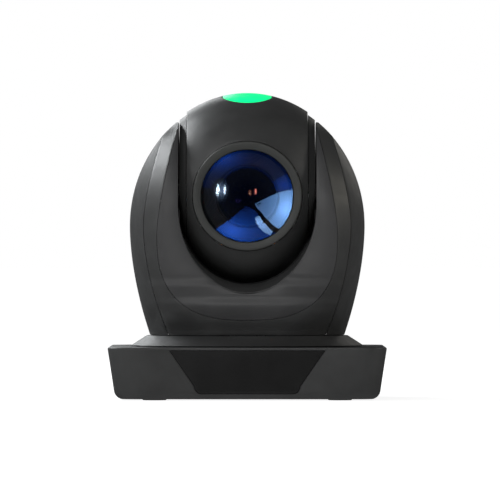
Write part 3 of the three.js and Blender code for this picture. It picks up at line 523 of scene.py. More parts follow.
def base_form(name, inset=0.0, bottom=None, top=None):
    bottom = BASE_BOTTOM if bottom is None else bottom
    top = BASE_TOP if top is None else top
    levels = [(bottom + ROLL * (1 - c), ROLL * (1 - s)) for c, s in quarter_turn(8)]
    levels += [(top - RIM, 0), (top - 0.45, 0.0), (top - 0.2, 0.1), (top - 0.05, 0.3), (top, 0.55)]
    rings = []
    for z, draw in levels:
        lean = max(0, 1 - (z - BASE_BOTTOM) / (BASE_TOP - RIM - BASE_BOTTOM)) * FLARE
        half = BASE_HALF - lean - draw - inset
        radius = max(CORNER - inset - draw, 2)
        rings.append([(x, y, z) for x, y in rounded_rectangle(half, half, radius)])
    return loft(name, rings)


def window_outline(margin):
    """The front window: a trapezoid with round lower corners."""
    right = [(WINDOW_WIDE + margin, WINDOW_TOP + margin)]
    right += [(WINDOW_NARROW + margin - WINDOW_CORNER * (1 - c),
               WINDOW_BOTTOM - margin + WINDOW_CORNER * (1 - s)) for c, s in quarter_turn(6)]
    return both_sides(right)


# %% Base shell
shell = base_form("base_shell_moulding")
cut(shell, base_form("hollow", WALL, BASE_BOTTOM + WALL, BASE_TOP - WALL))
mouth_half = BASE_HALF - PLATE_INSET + GAP
mouth = rounded_rectangle(mouth_half, mouth_half, CORNER - 4)
cut(shell, up_prism("mouth", mouth, -1, BASE_BOTTOM + WALL + 2))
pocket = front_prism("pocket", window_outline(GAP / 3), -OUTSIDE, -BASE_HALF + FLARE + 3)
cut(pocket, base_form("floor", POCKET_DEPTH, BASE_BOTTOM, BASE_TOP + 2))
cut(shell, pocket)
cut(shell, front_prism("sight", window_outline(-3), -OUTSIDE, -BASE_HALF / 2))
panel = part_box("rear_panel")[1] / MM
cut(shell, block("bay", (-BAY_HALF, panel.y + GAP, BAY_BOTTOM), (BAY_HALF, OUTSIDE, BAY_TOP)))
cut(shell, up_prism("post_hole", circle(POST_HOLE, 64), 0, BASE_TOP + 5))
finish_piece(soften(shell, 0.3), "base_shell", charcoal)

# %% Front window
outline = window_outline(-GAP / 3)
window = front_prism("smoked_front_window", outline, -OUTSIDE, -BASE_HALF / 2)
common(window, base_form("skin", 0.05, BASE_BOTTOM, BASE_TOP + 2))
cut(window, base_form("back", WINDOW_THICKNESS, BASE_BOTTOM, BASE_TOP + 2))
finish_piece(soften(window, 0.2), "front_window", smoked)

# %% [markdown]
# The ring that the fork turns over is a simple turned moulding, so its profile is spun. A small
# round on its top edge catches a thin line of light.

# %% Ring
low, high = box_mm("ring")
foot, top = high.x, high.z
lip, wall, round_off = 54.9, 2.4, 1.0
slope = math.atan2(top - low.z, foot - lip)
profile = [(foot - wall * 1.6, low.z), (foot - 0.3, low.z), (foot, low.z + 0.3)]
for i in range(7):
    angle = (math.pi / 2 - slope) * (1 - i / 6) + math.pi / 2 * (i / 6)
    profile.append((lip - round_off * 0.4 + round_off * math.cos(angle),
                    top - round_off + round_off * math.sin(angle)))
profile += [(lip - wall, top), (lip - wall, top - wall)]
finish_piece(soften(spun("fork_ring", profile, steps=160), 0), "ring", charcoal)

# %% [markdown]
# ## Fork
# The fork is one egg-shaped skin, split into a U-shaped trim panel, a front and a rear shell and
# two side covers. Making the whole skin first and splitting it afterwards keeps every surface
# running smoothly across the seams, as it does on a real camera, where all the pieces are cut
# from one styling surface. The form is a loft of level outlines: a nearly flat front, a facet
# that leans back to the seam, and a rounded side.

# %% The fork's sizes
FORK_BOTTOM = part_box("fork_front_shell")[0].z / MM
FORK_TOP, FORK_WIDEST, FORK_HALF_WIDTH, CROWN = 150.3, 94, 64, 70.8
FORK_FRONT, FORK_REAR, FORK_SKIN = 53, 57, 2.2
SHOULDER, SHOULDER_DROP, PANEL_BOTTOM, PANEL_HALF_WIDTH, PANEL_BACK = 100, 56, 43, 48.8, -12
LOWER_TAPER, PANEL_FULLNESS, PANEL_DRAW, PANEL_SPAN = 157.3, 2.65, 11.1, 56.6
SEAM_WIDEST, SEAM_LOW, SEAM_HIGH = 56.1, (10.4, 52, 1.86), (12.5, 55, 1.5)
FRONT_LEAN, FACET_FOOT, FACET_CLOSE, FACET_BACK, FACET_BACK_LOW = 2, 50, 0.45, 7.5, 7
HEAD_RADIUS, HEAD_LIFT, HEAD_HALF_WIDTH, SADDLE_WALL = 51.8, 4.7, 36.8, 2
HEAD_CLEARANCE, CHEEK_CLEARANCE, REAR_SILL, SILL_RISE = 1.1, 0.6, 84, 5.2
FAR = 120
print("tilt axis at", TILT_AXIS, "fork from", round(FORK_BOTTOM, 2), "to", FORK_TOP)


# %% Outlines of the fork
def ease(z, start, end):
    t = min(1, max(0, (z - start) / (end - start)))
    return t * t * (3 - 2 * t)


def half_width_at(z):
    if z < FORK_WIDEST:
        return FORK_HALF_WIDTH * (1 - ((FORK_WIDEST - z) / LOWER_TAPER) ** 1.8)
    return FORK_HALF_WIDTH * math.sqrt(1 - ((z - FORK_WIDEST) / CROWN) ** 2)


def seam_at(z):
    turn = FORK_WIDEST + 1
    draw, span, power = SEAM_LOW if z < turn else SEAM_HIGH
    return SEAM_WIDEST - draw * (abs(z - turn) / span) ** power


def panel_edge_at(z):
    turn, height = FORK_WIDEST - 4, FORK_WIDEST - 4 - PANEL_BOTTOM
    if z <= PANEL_BOTTOM:
        return 0
    if z < turn:
        low = (turn - z) / height
        return PANEL_HALF_WIDTH * (1 - low ** PANEL_FULLNESS) ** (1 / PANEL_FULLNESS)
    return PANEL_HALF_WIDTH - PANEL_DRAW * ((z - turn) / PANEL_SPAN) ** 1.4


def facet_edge_at(z):
    """Where the side facet starts; low down its edge parts from the panel's and draws in."""
    close = FACET_CLOSE * (1 - ease(z, FORK_BOTTOM, FACET_FOOT))
    return panel_edge_at(max(z, FACET_FOOT)) * (1 - close)


def depth_at(z, depth):
    if z > SHOULDER:
        return (depth - FRONT_LEAN) * math.sqrt(1 - ((z - SHOULDER) / SHOULDER_DROP) ** 2)
    steps = (1 - ease(z, 61, 66)) + (1 - ease(z, 51, 56))
    roll = 3 * (1 - ease(z, PANEL_BOTTOM - 5, 51)) + 2 * (1 - ease(z, FORK_BOTTOM, PANEL_BOTTOM))
    return depth - FRONT_LEAN + steps - roll


# %% One level of the fork
def fork_level(z, inset):
    wide = half_width_at(z) - inset
    seam = min(seam_at(z) - inset * 0.7, wide - 0.4)
    edge = min(facet_edge_at(z) - inset * 0.3, seam - 0.5)
    back = FACET_BACK + FACET_BACK_LOW * (1 - ease(z, FORK_BOTTOM, 60))
    power = 2 - ease(z, PANEL_BOTTOM, 62)

    def quarter(depth):
        points = [(edge + (seam - edge) * t / 8, depth - back * (t / 8) ** power) for t in range(9)]
        points.insert(0, (edge * 0.5, depth))
        corner = depth - back
        for i in range(1, 15):
            y = corner * (1 - i / 14)
            points.append((wide - (wide - seam) * (y / corner) ** 2.2, y))
        return points

    front = [(x, -y) for x, y in quarter(depth_at(z, FORK_FRONT) - inset)]
    rear = quarter(depth_at(z, FORK_REAR) - inset)[:-1][::-1]
    right = front + rear
    return [(x, y, z) for x, y in right] + [(-x, y, z) for x, y in reversed(right)]


def fork_form(name, inset, bottom, top):
    steps = [bottom]
    z = bottom
    while z < top - 1.2:
        fine = 0.9 if 50 < z < 67 or 35 < z < 52 or z > 143 else 1.8
        z += fine
        steps.append(min(z, top))
    if steps[-1] < top:
        steps[-1] = top
    return loft(name, [fork_level(z, inset) for z in steps])


# %% The hollow for the head
def opening_outline(margin, sill=TILT_AXIS - HEAD_RADIUS - HEAD_CLEARANCE, steps=48):
    half = HEAD_HALF_WIDTH + CHEEK_CLEARANCE + margin
    springing = TILT_AXIS - 5
    drop = springing - sill + margin
    bowl = [(half * math.cos(math.pi * (1 + i / steps)),
             springing + drop * math.sin(math.pi * (1 + i / steps))) for i in range(steps + 1)]
    return [(half, FORK_TOP + 20), (-half, FORK_TOP + 20)] + bowl


def saddle_hollow(name, margin):
    """A drum with an open front, whose sill rises behind the front edge to close the gap
    under the head, as far as the head's swing allows."""
    half = HEAD_HALF_WIDTH + CHEEK_CLEARANCE + margin
    radius = HEAD_RADIUS + HEAD_CLEARANCE + margin
    low = TILT_AXIS - HEAD_RADIUS - HEAD_CLEARANCE
    drum = side_prism(name, circle(radius, 128, (HEAD_LIFT, TILT_AXIS)), -half, half)
    sills = [(-FAR, 0), (FRONT_LEAN - FORK_FRONT, 0), (-42, SILL_RISE), (-39.5, SILL_RISE),
             (-36, 3), (-30, 1), (0, 0), (HEAD_LIFT, 0)]
    rings = [[(x, y, z) for x, z in opening_outline(margin, low + rise)] for y, rise in sills]
    return combine(drum, loft("mouth", rings), "UNION")


def rear_opening():
    return front_prism("rear_opening", opening_outline(0, REAR_SILL), 0, FAR)


# %% The whole skin, and the U panel's outline
fork_skin = fork_form("fork_skin", 0, FORK_BOTTOM, FORK_TOP)
cut(fork_skin, fork_form("fork_hollow", FORK_SKIN, FORK_BOTTOM - 5, FORK_TOP - FORK_SKIN))
cut(fork_skin, front_prism("front_opening", opening_outline(0), -FAR, 0.1))
cut(fork_skin, rear_opening())
print("whole fork skin:", len(fork_skin.data.polygons), "faces")


def seam_prism(margin):
    levels = [FORK_BOTTOM - 1 + i * (FORK_TOP + 2 - FORK_BOTTOM) / 60 for i in range(61)]
    right = [(seam_at(z) + margin, z) for z in levels]
    return front_prism("seam", both_sides(right), -FAR, FAR)


def panel_prism(margin):
    turn, top = FORK_WIDEST - 4, FORK_TOP - 2
    bottom = PANEL_BOTTOM - margin
    power = 2 / PANEL_FULLNESS
    right = [((PANEL_HALF_WIDTH + margin) * s ** power, turn - (turn - bottom) * c ** power)
             for c, s in quarter_turn(36)[:-1]]
    for i in range(19):
        z = turn + (top - turn) * i / 18
        right.append((panel_edge_at(z) + margin, z))
    outline = right + [(-x, z) for x, z in reversed(right[1:])]
    return front_prism("panel_edge", outline, -FAR, PANEL_BACK)


# %% Split the skin
def delete_vertices(piece, choose):
    """Delete the vertices that choose picks from the piece's mesh."""
    mesh = edit(piece)
    select_all("DESELECT")
    for vertex in choose(mesh):
        vertex.select_set(True)
    mesh.select_flush(True)
    bpy.ops.mesh.delete(type="VERT")
    leave_edit()
    return piece


def keep_right(piece):
    """Keep the right one of two mirrored islands."""
    return delete_vertices(piece, lambda mesh: [v for v in mesh.verts if v.co.x < 0])


def slivers(mesh):
    """Every vertex outside the island that has the most of them."""
    left, islands = set(mesh.verts), []
    while left:
        stack, island = [left.pop()], set()
        while stack:
            vertex = stack.pop()
            island.add(vertex)
            for link in vertex.link_edges:
                other = link.other_vert(vertex)
                if other in left:
                    left.remove(other)
                    stack.append(other)
        islands.append(island)
    return set(mesh.verts) - max(islands, key=len)


def keep_largest(piece):
    """Delete the slivers that a split may leave beside the piece itself."""
    return delete_vertices(piece, slivers)


def half_space(name, side):
    low, high = (GAP / 2, FAR) if side > 0 else (-FAR, -GAP / 2)
    return block(name, (-FAR, low, 0), (FAR, high, FORK_TOP + 9))


SEAM = 0.11
u_panel = common(copy_of(fork_skin, "u_trim_panel"), panel_prism(-SEAM))
front_shell = common(copy_of(fork_skin, "fork_front_cover"), seam_prism(-SEAM))
rear_shell = common(copy_of(front_shell, "fork_rear_cover"), half_space("behind", 1))
common(front_shell, half_space("before", -1))
cut(front_shell, panel_prism(SEAM))
side_cover = keep_right(named(cut(fork_skin, seam_prism(SEAM)), "right_fork_cover"))
for piece in (u_panel, front_shell, rear_shell, side_cover):
    soften(keep_largest(piece), 0.3, 40)
left_cover = soften(mirrored(side_cover, "left_fork_cover"), 0)
finish_piece(u_panel, "u_panel", trim_grey)
finish_piece(front_shell, "fork_front_shell", charcoal)
finish_piece(rear_shell, "fork_rear_shell", charcoal)
finish_piece(side_cover, "right_side_cover", charcoal)
finish_piece(left_cover, "left_side_cover", charcoal)

# %% [markdown]
# The saddle is the thin wall that lines the hollow under the head, so that no works can be seen
# when the head tilts. It is the difference of two hollows, trimmed to the inside of the skin.

# %% Saddle
HUB_HOLE = 10
half = HEAD_HALF_WIDTH + CHEEK_CLEARANCE
saddle = cut(saddle_hollow("head_saddle", SADDLE_WALL), saddle_hollow("inner", 0))
cut(saddle, rear_opening())
cut(saddle, block("overhead", (-half, -FAR, TILT_AXIS), (half, FAR, FORK_TOP + 20)))
hub = on_axis(HUB_HOLE)
cut(saddle, side_prism("hub", hub, -FORK_HALF_WIDTH, FORK_HALF_WIDTH))
inside = FORK_SKIN + GAP
common(saddle, fork_form("inside", inside, FORK_BOTTOM, FORK_TOP - inside))
finish_piece(soften(keep_largest(saddle), 0.15, 40), "saddle", charcoal)

# %% [markdown]
# ## Head
# The head is a drum that tilts between the arms. Across its width the crown falls away in an arc,
# and the underside is a bowl, so the loft runs from side to side: each ring is a squared-off
# circle, taller above the middle than below it near the ends. The front is cut flat where the
# bezel sits. Two narrow side covers stand one small step lower than the middle.

# %% The head's form
CROWN_HALF_WIDTH, CROWN_RISE, BOWL_EDGE, HEAD_SKIN = 64, 72.5, 9.7, 2.2
COVER_SEAM, COVER_STEP, HEAD_SPLIT, SHAFT_HOLE = 33, 1.5, 10, 7.3
FULLNESS = {"crown": 2.1, "front": 2.6, "rear": 2.2}
TALLY_WIDE, TALLY_LONG, TALLY_FORWARD = 13.4, 16, 9
BEZEL_RADIUS, GLASS_RADIUS, BEZEL_FRONT, BEZEL_DEPTH = 29.5, 24.8, 49.6, 8
GLASS_RIM, GLASS_RISE, GLASS_THICKNESS, GLASS_LAP = -48.6, 4.2, 3, 0.25
ROD_PLACE, ROD_RADIUS, ROD_HOLE, ROD_FRONT = 18, 1.0, 1.3, -31.6


def head_slice(x, inset, half, step, count=112):
    across = abs(x)
    fall = CROWN_RISE * (1 - math.sqrt(1 - (across / CROWN_HALF_WIDTH) ** 2))
    top = HEAD_RADIUS - fall - inset - step
    reach = math.sqrt(max(0, 1 - (across / (half + 0.01)) ** 2))
    low = BOWL_EDGE - inset * 0.5 + (HEAD_RADIUS - BOWL_EDGE - inset * 0.5) * reach
    ring = []
    for i in range(count):
        angle = i / count * 2 * math.pi
        c, s = math.cos(angle), math.sin(angle)
        power = FULLNESS["crown" if s >= 0 else "front" if c < 0 else "rear"]
        y = math.copysign(top * abs(c) ** (2 / power), c)
        z = math.copysign((top if s >= 0 else low) * abs(s) ** (2 / power), s)
        ring.append((x, y, z + HEAD_LIFT + TILT_AXIS))
    return ring


def head_form(name, inset, half, step=0):
    places = [half * math.sin(math.pi / 2 * i / 22) for i in range(-22, 23)]
    form = loft(name, [head_slice(x, inset, half, step) for x in places])
    face = 3 + inset - BEZEL_FRONT
    return common(form, block("front_face", (-FAR, face, 0), (FAR, FAR, 2 * FAR)))


def head_hollow():
    return head_form("head_hollow", HEAD_SKIN, HEAD_HALF_WIDTH - HEAD_SKIN, COVER_STEP)


def tally_outline(margin):
    return oval((0, -TALLY_FORWARD), TALLY_WIDE + margin, TALLY_LONG + margin, 72)


# %% Head shells and covers
top_of_all = TILT_AXIS + FAR
head_middle = cut(head_form("head_front_cover", 0, HEAD_HALF_WIDTH), head_hollow())
seam = COVER_SEAM - GAP / 2
common(head_middle, block("middle", (-seam, -FAR, 0), (seam, FAR, top_of_all)))
lens_hole = on_axis(BEZEL_RADIUS + GAP, 128)
cut(head_middle, front_prism("lens_hole", lens_hole, -FAR, -20))
cut(head_middle, up_prism("tally_hole", tally_outline(GAP / 2), TILT_AXIS + 20, top_of_all))
head_rear = copy_of(head_middle, "head_rear_cover")
split = HEAD_SPLIT - GAP / 2
common(head_middle, block("before", (-FAR, -FAR, 0), (FAR, split, top_of_all)))
common(head_rear, block("behind", (-FAR, split + GAP, 0), (FAR, FAR, top_of_all)))
head_side = cut(head_form("right_head_end", 0, HEAD_HALF_WIDTH, COVER_STEP), head_hollow())
common(head_side, block("end", (COVER_SEAM + GAP / 2, -FAR, 0), (FAR, FAR, top_of_all)))
cut(head_side, side_prism("shaft_hole", on_axis(SHAFT_HOLE), 0, FAR))
for piece in (head_middle, head_rear, head_side):
    soften(keep_largest(piece), 0.25, 35)
head_other_side = soften(mirrored(head_side, "left_head_end"), 0)
finish_piece(head_middle, "head_front_shell", head_charcoal_painted_lighter)
finish_piece(head_rear, "head_rear_shell", head_charcoal_painted_lighter)
finish_piece(head_side, "right_head_cover", head_charcoal_painted_lighter)
finish_piece(head_other_side, "left_head_cover", head_charcoal_painted_lighter)

# %% Tally window
window = cut(head_form("lit_tally_window", 0, HEAD_HALF_WIDTH),
             head_form("under", HEAD_SKIN, HEAD_HALF_WIDTH - HEAD_SKIN))
common(window, up_prism("rim", tally_outline(-GAP / 2), TILT_AXIS + 20, top_of_all))
finish_piece(soften(window, 0.3), "tally_window", tally_green)

# %% [markdown]
# ## Lens
# The bezel is turned, with a soft outer corner and a chamfer that leads in to the glass. Behind
# the glass a ridged funnel narrows towards the moving zoom group: its steps are what shows as
# fine rings round the pupil.

# %% Bezel
front, inner, round_off = -BEZEL_FRONT, GLASS_RADIUS + GAP, 0.8
profile = [(inner, front + 0.6), (inner + 0.1, front + 0.2), (inner + 0.35, front)]
profile += [(BEZEL_RADIUS - round_off * (1 - s), front + round_off * (1 - c))
            for c, s in quarter_turn(6)]
profile += [(BEZEL_RADIUS, front + BEZEL_DEPTH), (inner, front + BEZEL_DEPTH)]
finish_piece(soften(lens_turned("glass_bezel", profile, 144), 0, 40), "lens_bezel", bezel_grey)


# %% Front glass
def dome(radius, rim, rise, steps=20):
    """Half a lens face in section: from the axis out to the rim."""
    return [(radius * i / steps, rim - rise * (1 - (i / steps) ** 2)) for i in range(steps + 1)]


def make_glass(name, radius, front_rim, front_rise, back_rim, back_rise):
    profile = dome(radius, front_rim, front_rise) + dome(radius, back_rim, back_rise)[::-1]
    return soften(lens_turned(name, profile), 0, 40)


front_glass = make_glass("front_lens_glass", GLASS_RADIUS + GLASS_LAP, GLASS_RIM, GLASS_RISE,
                         GLASS_RIM + GLASS_THICKNESS, GLASS_RISE)
finish_piece(front_glass, "front_glass", front_glass_painted_rings)


# %% Funnel and lens block
def rod_hole(side, front, rear):
    outline = circle(ROD_HOLE, 24, (side * ROD_PLACE, TILT_AXIS))
    return front_prism("rod_hole", outline, front, rear)


# The ridged funnel, the tube behind it and the housing at the back are one moulding.
low, high = box_mm("lens_block")
tube, bore, half, front, middle, rear = 23.4, 21.0, 24, low.y, -12, high.y
profile = [(tube, middle + 1), (tube, front + 0.4), (tube - 0.4, front)]
radius, y = 23.0, front
for _ in range(9):
    profile += [(radius, y), (radius - 0.35, y + 1.0)]
    radius -= 0.70
    y += 1.0
profile += [(radius, y), (radius, y + 0.4), (bore, y + 0.4), (bore, middle + 1)]
body = lens_turned("ridged_lens_barrel", profile)
housing = block("housing", (-half, middle, TILT_AXIS - half), (half, rear, TILT_AXIS + half))
cut(housing, front_prism("bore", on_axis(bore, 128), middle - 5, rear - 6))
low, high = (-8, rear - 7, TILT_AXIS - 6), (8, rear + 1, TILT_AXIS + 6)
cut(housing, block("sensor_window", low, high))
edit(housing)
select_all("DESELECT")
bpy.ops.mesh.select_mode(type="FACE")
mesh = bmesh.from_edit_mesh(housing.data)
for face in mesh.faces:
    if abs(face.normal.x) > 0.9 and abs(face.calc_center_median().x) > (half - 0.1) * MM:
        face.select_set(True)
bpy.ops.mesh.inset(thickness=3 * MM, depth=-0.8 * MM)
leave_edit()
combine(body, housing, "UNION")
for side in (-1, 1):
    cut(body, rod_hole(side, middle - 5, rear - 2))
finish_piece(soften(body, 0), "lens_block", black_plastic)


# %% Guide rods
def make_rod(name, node, side):
    rear, front, radius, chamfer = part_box(node)[1].y / MM, ROD_FRONT, ROD_RADIUS, 0.25
    profile = [(0, front), (radius - chamfer, front), (radius, front + chamfer),
               (radius, rear - chamfer), (radius - chamfer, rear), (0, rear)]
    rod = spun(name, profile, "y", 32, (side * ROD_PLACE, 0, TILT_AXIS))
    finish_piece(soften(rod, 0), node, steel)


make_rod("right_slide_rod", "right_guide_rod", 1)
make_rod("left_slide_rod", "left_guide_rod", -1)


# %% Moving groups
def make_group(name, node, glass_radius, material):
    """A domed element in a black carriage that slides on two rods."""
    low, high = box_mm(node)
    front, rear, seat, rim = low.y, high.y, glass_radius - 1.2, glass_radius + 0.6
    lens = make_glass(name + "_element", seat, front + 1.6, 1.4, rear - 0.4, -0.6)
    ring = lens_turned(name + "_carriage", [
        (seat, front + 0.9), (seat, rear), (rim, rear),
        (rim, front + 0.4), (rim - 0.4, front), (seat + 0.8, front)])
    for side in (-1, 1):
        near, far = sorted((side * (glass_radius - 0.2), side * high.x))
        ear = block("ear", (near, front + 0.5, TILT_AXIS - 3), (far, rear, TILT_AXIS + 3))
        combine(ring, ear, "UNION")
        cut(ring, rod_hole(side, front - 5, rear + 5))
    soften(ring, 0.15)
    ring.data.materials.append(black_plastic)
    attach(ring, body_of_node[node])
    return finish_piece(lens, node, material)


zoom_lens = make_group("zoom", "zoom_group", 17, blue_coating)
make_group("focus", "focus_group", 14, violet_coating)

# %% [markdown]
# ## Back and underside
# Cables plug in at the back, in a long bay cut into the base. Each socket is a metal or plastic
# shell with its own contacts. Underneath, a flat plate carries a tripod insert and four feet.


# %% Socket helpers
def plug_hole(name, outline, depth, face):
    return front_prism(name, outline, face - depth, face + 5)


def square_ring(x, z, half_x, half_z, corner):
    return [(x + a, z + b) for a, b in rounded_rectangle(half_x, half_z, corner, 4)]


def socket_face(node):
    low, high = box_mm(node)
    middle = (low + high) / 2
    return middle.x, middle.z, (high.x - low.x) / 2, (high.z - low.z) / 2, low.y, high.y


# %% Round sockets
def make_round_socket(name, node, hollow, material, pin=0, core=0, threads=0):
    x, z, radius, _, back, front = socket_face(node)
    lip, floor = front - 1.2, back + 3
    profile = [(0, back), (radius, back), (radius, lip - 2)]
    for i in range(threads):
        y = lip - 2 + i * (front - lip + 1.6) / threads
        profile += [(radius - 0.25, y + 0.15), (radius, y + 0.4)]
    profile += [(radius, front - 0.3), (radius - 0.3, front), (hollow + 0.35, front),
                (hollow, front - 0.35), (hollow, floor)]
    centre, tip = pin or core, lip - 1.5
    if centre:
        profile += [(centre, floor), (centre, tip - 0.4), (centre - 0.35, tip), (0, tip)]
    else:
        profile.append((0, floor))
    body = soften(spun(name, profile, "y", 64, (x, 0, z)), 0)
    if core:
        spread = core * 0.62
        for i in range(8):
            angle = (i + 0.5) / 8 * 2 * math.pi
            spot = circle(0.42, 16, (x + math.cos(angle) * spread, z + math.sin(angle) * spread))
            cut(body, front_prism("contact", spot, lip - 5, front + 3))
    finish_piece(body, node, material)


make_round_socket("power_inlet", "power_jack", 2.9, black_plastic, pin=1.0)
make_round_socket("audio_inlet", "audio_jack", 2.2, black_plastic)
make_round_socket("serial_inlet", "serial_socket", 4.6, black_plastic, core=3.2)
make_round_socket("coax_outlet", "coax_socket", 3.6, nickel, pin=0.9, threads=4)


# %% Square sockets
def make_square_socket(name, node, hollow, material, tongue=None, contacts=0):
    x, z, half_x, half_z, back, front = socket_face(node)
    body = front_prism(name, square_ring(x, z, half_x, half_z, 0.5), back, front)
    cut(body, plug_hole("mouth", square_ring(x, z, *hollow, 0.3), front - back - 3, front))
    if tongue:
        slab = front_prism("tongue", square_ring(x, z, *tongue, 0.15), back + 2, front - 2.7)
        combine(body, slab, "UNION")
    for i in range(contacts):
        place = x + (i - (contacts - 1) / 2) * hollow[0] * 1.5 / contacts
        top = z + hollow[1]
        low, high = (place - 0.22, back + 2.5, top - 0.9), (place + 0.22, front - 2, top + 0.1)
        combine(body, block("finger", low, high), "UNION")
    finish_piece(soften(body, 0.15, 50), node, material)


make_square_socket("network_port", "network_socket", (6, 4.4), nickel, contacts=8)
make_square_socket("data_port", "usb_socket", (4.3, 4), nickel, tongue=(2.6, 1.2))
make_square_socket("video_port", "video_socket", (7, 2.7), nickel, tongue=(5.6, 0.5))

# %% Rear panel and switch
low, high = box_mm("rear_panel")
middle = ((low.x + high.x) / 2, (low.z + high.z) / 2)
outline = square_ring(*middle, (high.x - low.x) / 2, (high.z - low.z) / 2, 1)
panel = front_prism("socket_panel", outline, low.y, high.y)
for node in ("power_jack", "audio_jack", "serial_socket", "coax_socket"):
    x, z, radius, _, _, front = socket_face(node)
    cut(panel, plug_hole("hole", circle(radius + GAP, 64, (x, z)), 12, front))
for node in ("network_socket", "usb_socket", "video_socket"):
    x, z, half_x, half_z, _, front = socket_face(node)
    hole = square_ring(x, z, half_x + GAP, half_z + GAP, 0.5)
    cut(panel, plug_hole("hole", hole, 12, front))
x, z, *_ = socket_face("switch_body")
cut(panel, plug_hole("slot", square_ring(x, z, 3.4, 3, 0.4), 12, high.y))
finish_piece(soften(panel, 0.2, 50), "rear_panel", black_plastic)

# %% Bottom plate
PLATE_THICKNESS, BOSS_RADIUS, INSERT_RADIUS, FOOT_PLACE = 2, 9, 5.1, 50
SCREW_PLACE, VENT_PLACE, VENT_PITCH = (60, 22), 34, 4
low, high = box_mm("bottom_plate")
plate_top = low.z + PLATE_THICKNESS
outline = rounded_rectangle(high.x, high.y, CORNER - 4)
plate = up_prism("bottom_cover", outline, low.z, plate_top)
combine(plate, up_prism("boss", circle(BOSS_RADIUS), low.z + 0.2, high.z), "UNION")
cut(plate, up_prism("insert_hole", circle(INSERT_RADIUS), -1, high.z + 1))
for sx in (-1, 1):
    for sy in (-1, 1):
        foot = (sx * FOOT_PLACE, sy * FOOT_PLACE)
        cut(plate, up_prism("foot_hole", circle(2.3, 32, foot), -1, plate_top + 1))
        screw = (sx * SCREW_PLACE[0], sy * SCREW_PLACE[1])
        cut(plate, up_prism("screw_well", circle(2.6, 48, screw), -1, low.z + 1.3))
for i in range(11):
    for x in (-VENT_PLACE, VENT_PLACE):
        slot = square_ring(x, (i - 5) * VENT_PITCH, 9, 0.9, 0.8)
        cut(plate, up_prism("vent", slot, -1, plate_top + 1))
finish_piece(soften(plate, 0.15, 50), "bottom_plate", black_plastic)


# %% Feet
def make_foot(node):
    low, high = box_mm(node)
    centre = ((low.x + high.x) / 2, (low.y + high.y) / 2, 0)
    radius = (high.x - low.x) / 2
    profile = [(0, 0.15), (radius - 2.2, 0.15), (radius - 1.9, 0), (radius - 0.35, 0),
               (radius - 0.1, 0.2), (radius, 0.5), (radius - 0.1, 0.8), (2, 0.8), (2, high.z),
               (0, high.z)]
    return soften(spun("rubber_" + node, profile, "z", 64, centre), 0)


for number in range(1, 5):
    finish_piece(make_foot(f"foot_{number}"), f"foot_{number}", rubber)

# %% [markdown]
# Everything else keeps the shape it was engineered with: boards, motors, pulleys, belts, bearings
# and the bent frame. Each only needs the finish that belongs to its material slot.

# %% Finish the parts that stay
slot_finish = dict(
    charcoal_shell=charcoal, grey_trim=trim_grey, smoked_window=smoked, black_plastic=black_plastic,
    rubber=rubber, steel=steel, brass=brass, nylon=nylon, circuit_board=green_board,
    socket_metal=nickel, socket_black=black_plastic, lens_glass=blue_coating,
    tally_green=tally_green)
for part in frame["record"]["subparts"]:
    node_object = nodes[part["node"]]
    node_object.data.materials.clear()
    node_object.data.materials.append(slot_finish[part["material_slot"]])
print("finished", len(nodes), "carried-over parts")

# %% [markdown]
# ## Floor and light
# A pale floor with a painted shadow round the camera's foot, and a soft studio: a wide softbox in
# front, a cool one high on the left that draws the bright edge of the arms, and weak warm ones on
# the right. Dark plastic shows light mainly as
# reflections, so the softboxes are large, and their edges make the gradients on the shells.

# %% Floor
deselect()
bpy.ops.mesh.primitive_plane_add(size=60, location=(0, 0, 0))
floor = named(bpy.context.object, "studio_floor")
floor_look_with_painted_shadow, floor_tree, floor_shader = new_material("pale studio floor with painted shadow")
mottle = noise(floor_tree, 3, 3)
paint(floor_tree, mottle, [(0.3, (0.32,) * 3), (0.7, (0.36,) * 3)], floor_shader)
# Painted shadow: the floor's glow is dimmed to 0.88 near the middle and rises to full white past
# about 0.8 m, a soft contact shadow painted round the camera's foot.
reach = add(floor_tree, "ShaderNodeTexGradient", gradient_type="SPHERICAL")
where = add(floor_tree, "ShaderNodeTexCoord")
join(floor_tree, where, "Object", reach, "Vector")
paint(floor_tree, reach, [(0.2, (1.0,) * 3), (0.9, (0.88,) * 3)], floor_shader, "Emission Color")
dial(floor_shader, Emission_Strength=1.0, Roughness=0.9, Specular_IOR_Level=0.0)
floor.data.materials.append(floor_look_with_painted_shadow)
floor.visible_glossy = False
floor.visible_transmission = False

# %% World
world = bpy.data.worlds.new("studio")
bpy.context.scene.world = world
world.use_nodes = True
sky = world.node_tree
background = sky.nodes["Background"]
paths = add(sky, "ShaderNodeLightPath")
shade = add(sky, "ShaderNodeMix")
shade.data_type = "RGBA"
shade.inputs[6].default_value = (0.06, 0.061, 0.063, 1)
shade.inputs[7].default_value = (1.0, 1.0, 1.0, 1)
join(sky, paths, "Is Camera Ray", shade, 0)
join(sky, shade, 2, background, "Color")
print("world ready")

# %% Softboxes
AIM = (0, 0, 0.09)


def softbox(name, place, size, power, colour):
    deselect()
    direction = Vector(AIM) - Vector(place)
    bpy.ops.object.light_add(type="AREA", location=place,
                             rotation=direction.to_track_quat("-Z", "Y").to_euler())
    light = bpy.context.object
    light.name = name
    light.data.shape = "RECTANGLE"
    light.data.size, light.data.size_y = size
    light.data.energy = power
    light.data.color = colour
    light.visible_camera = False
    return light


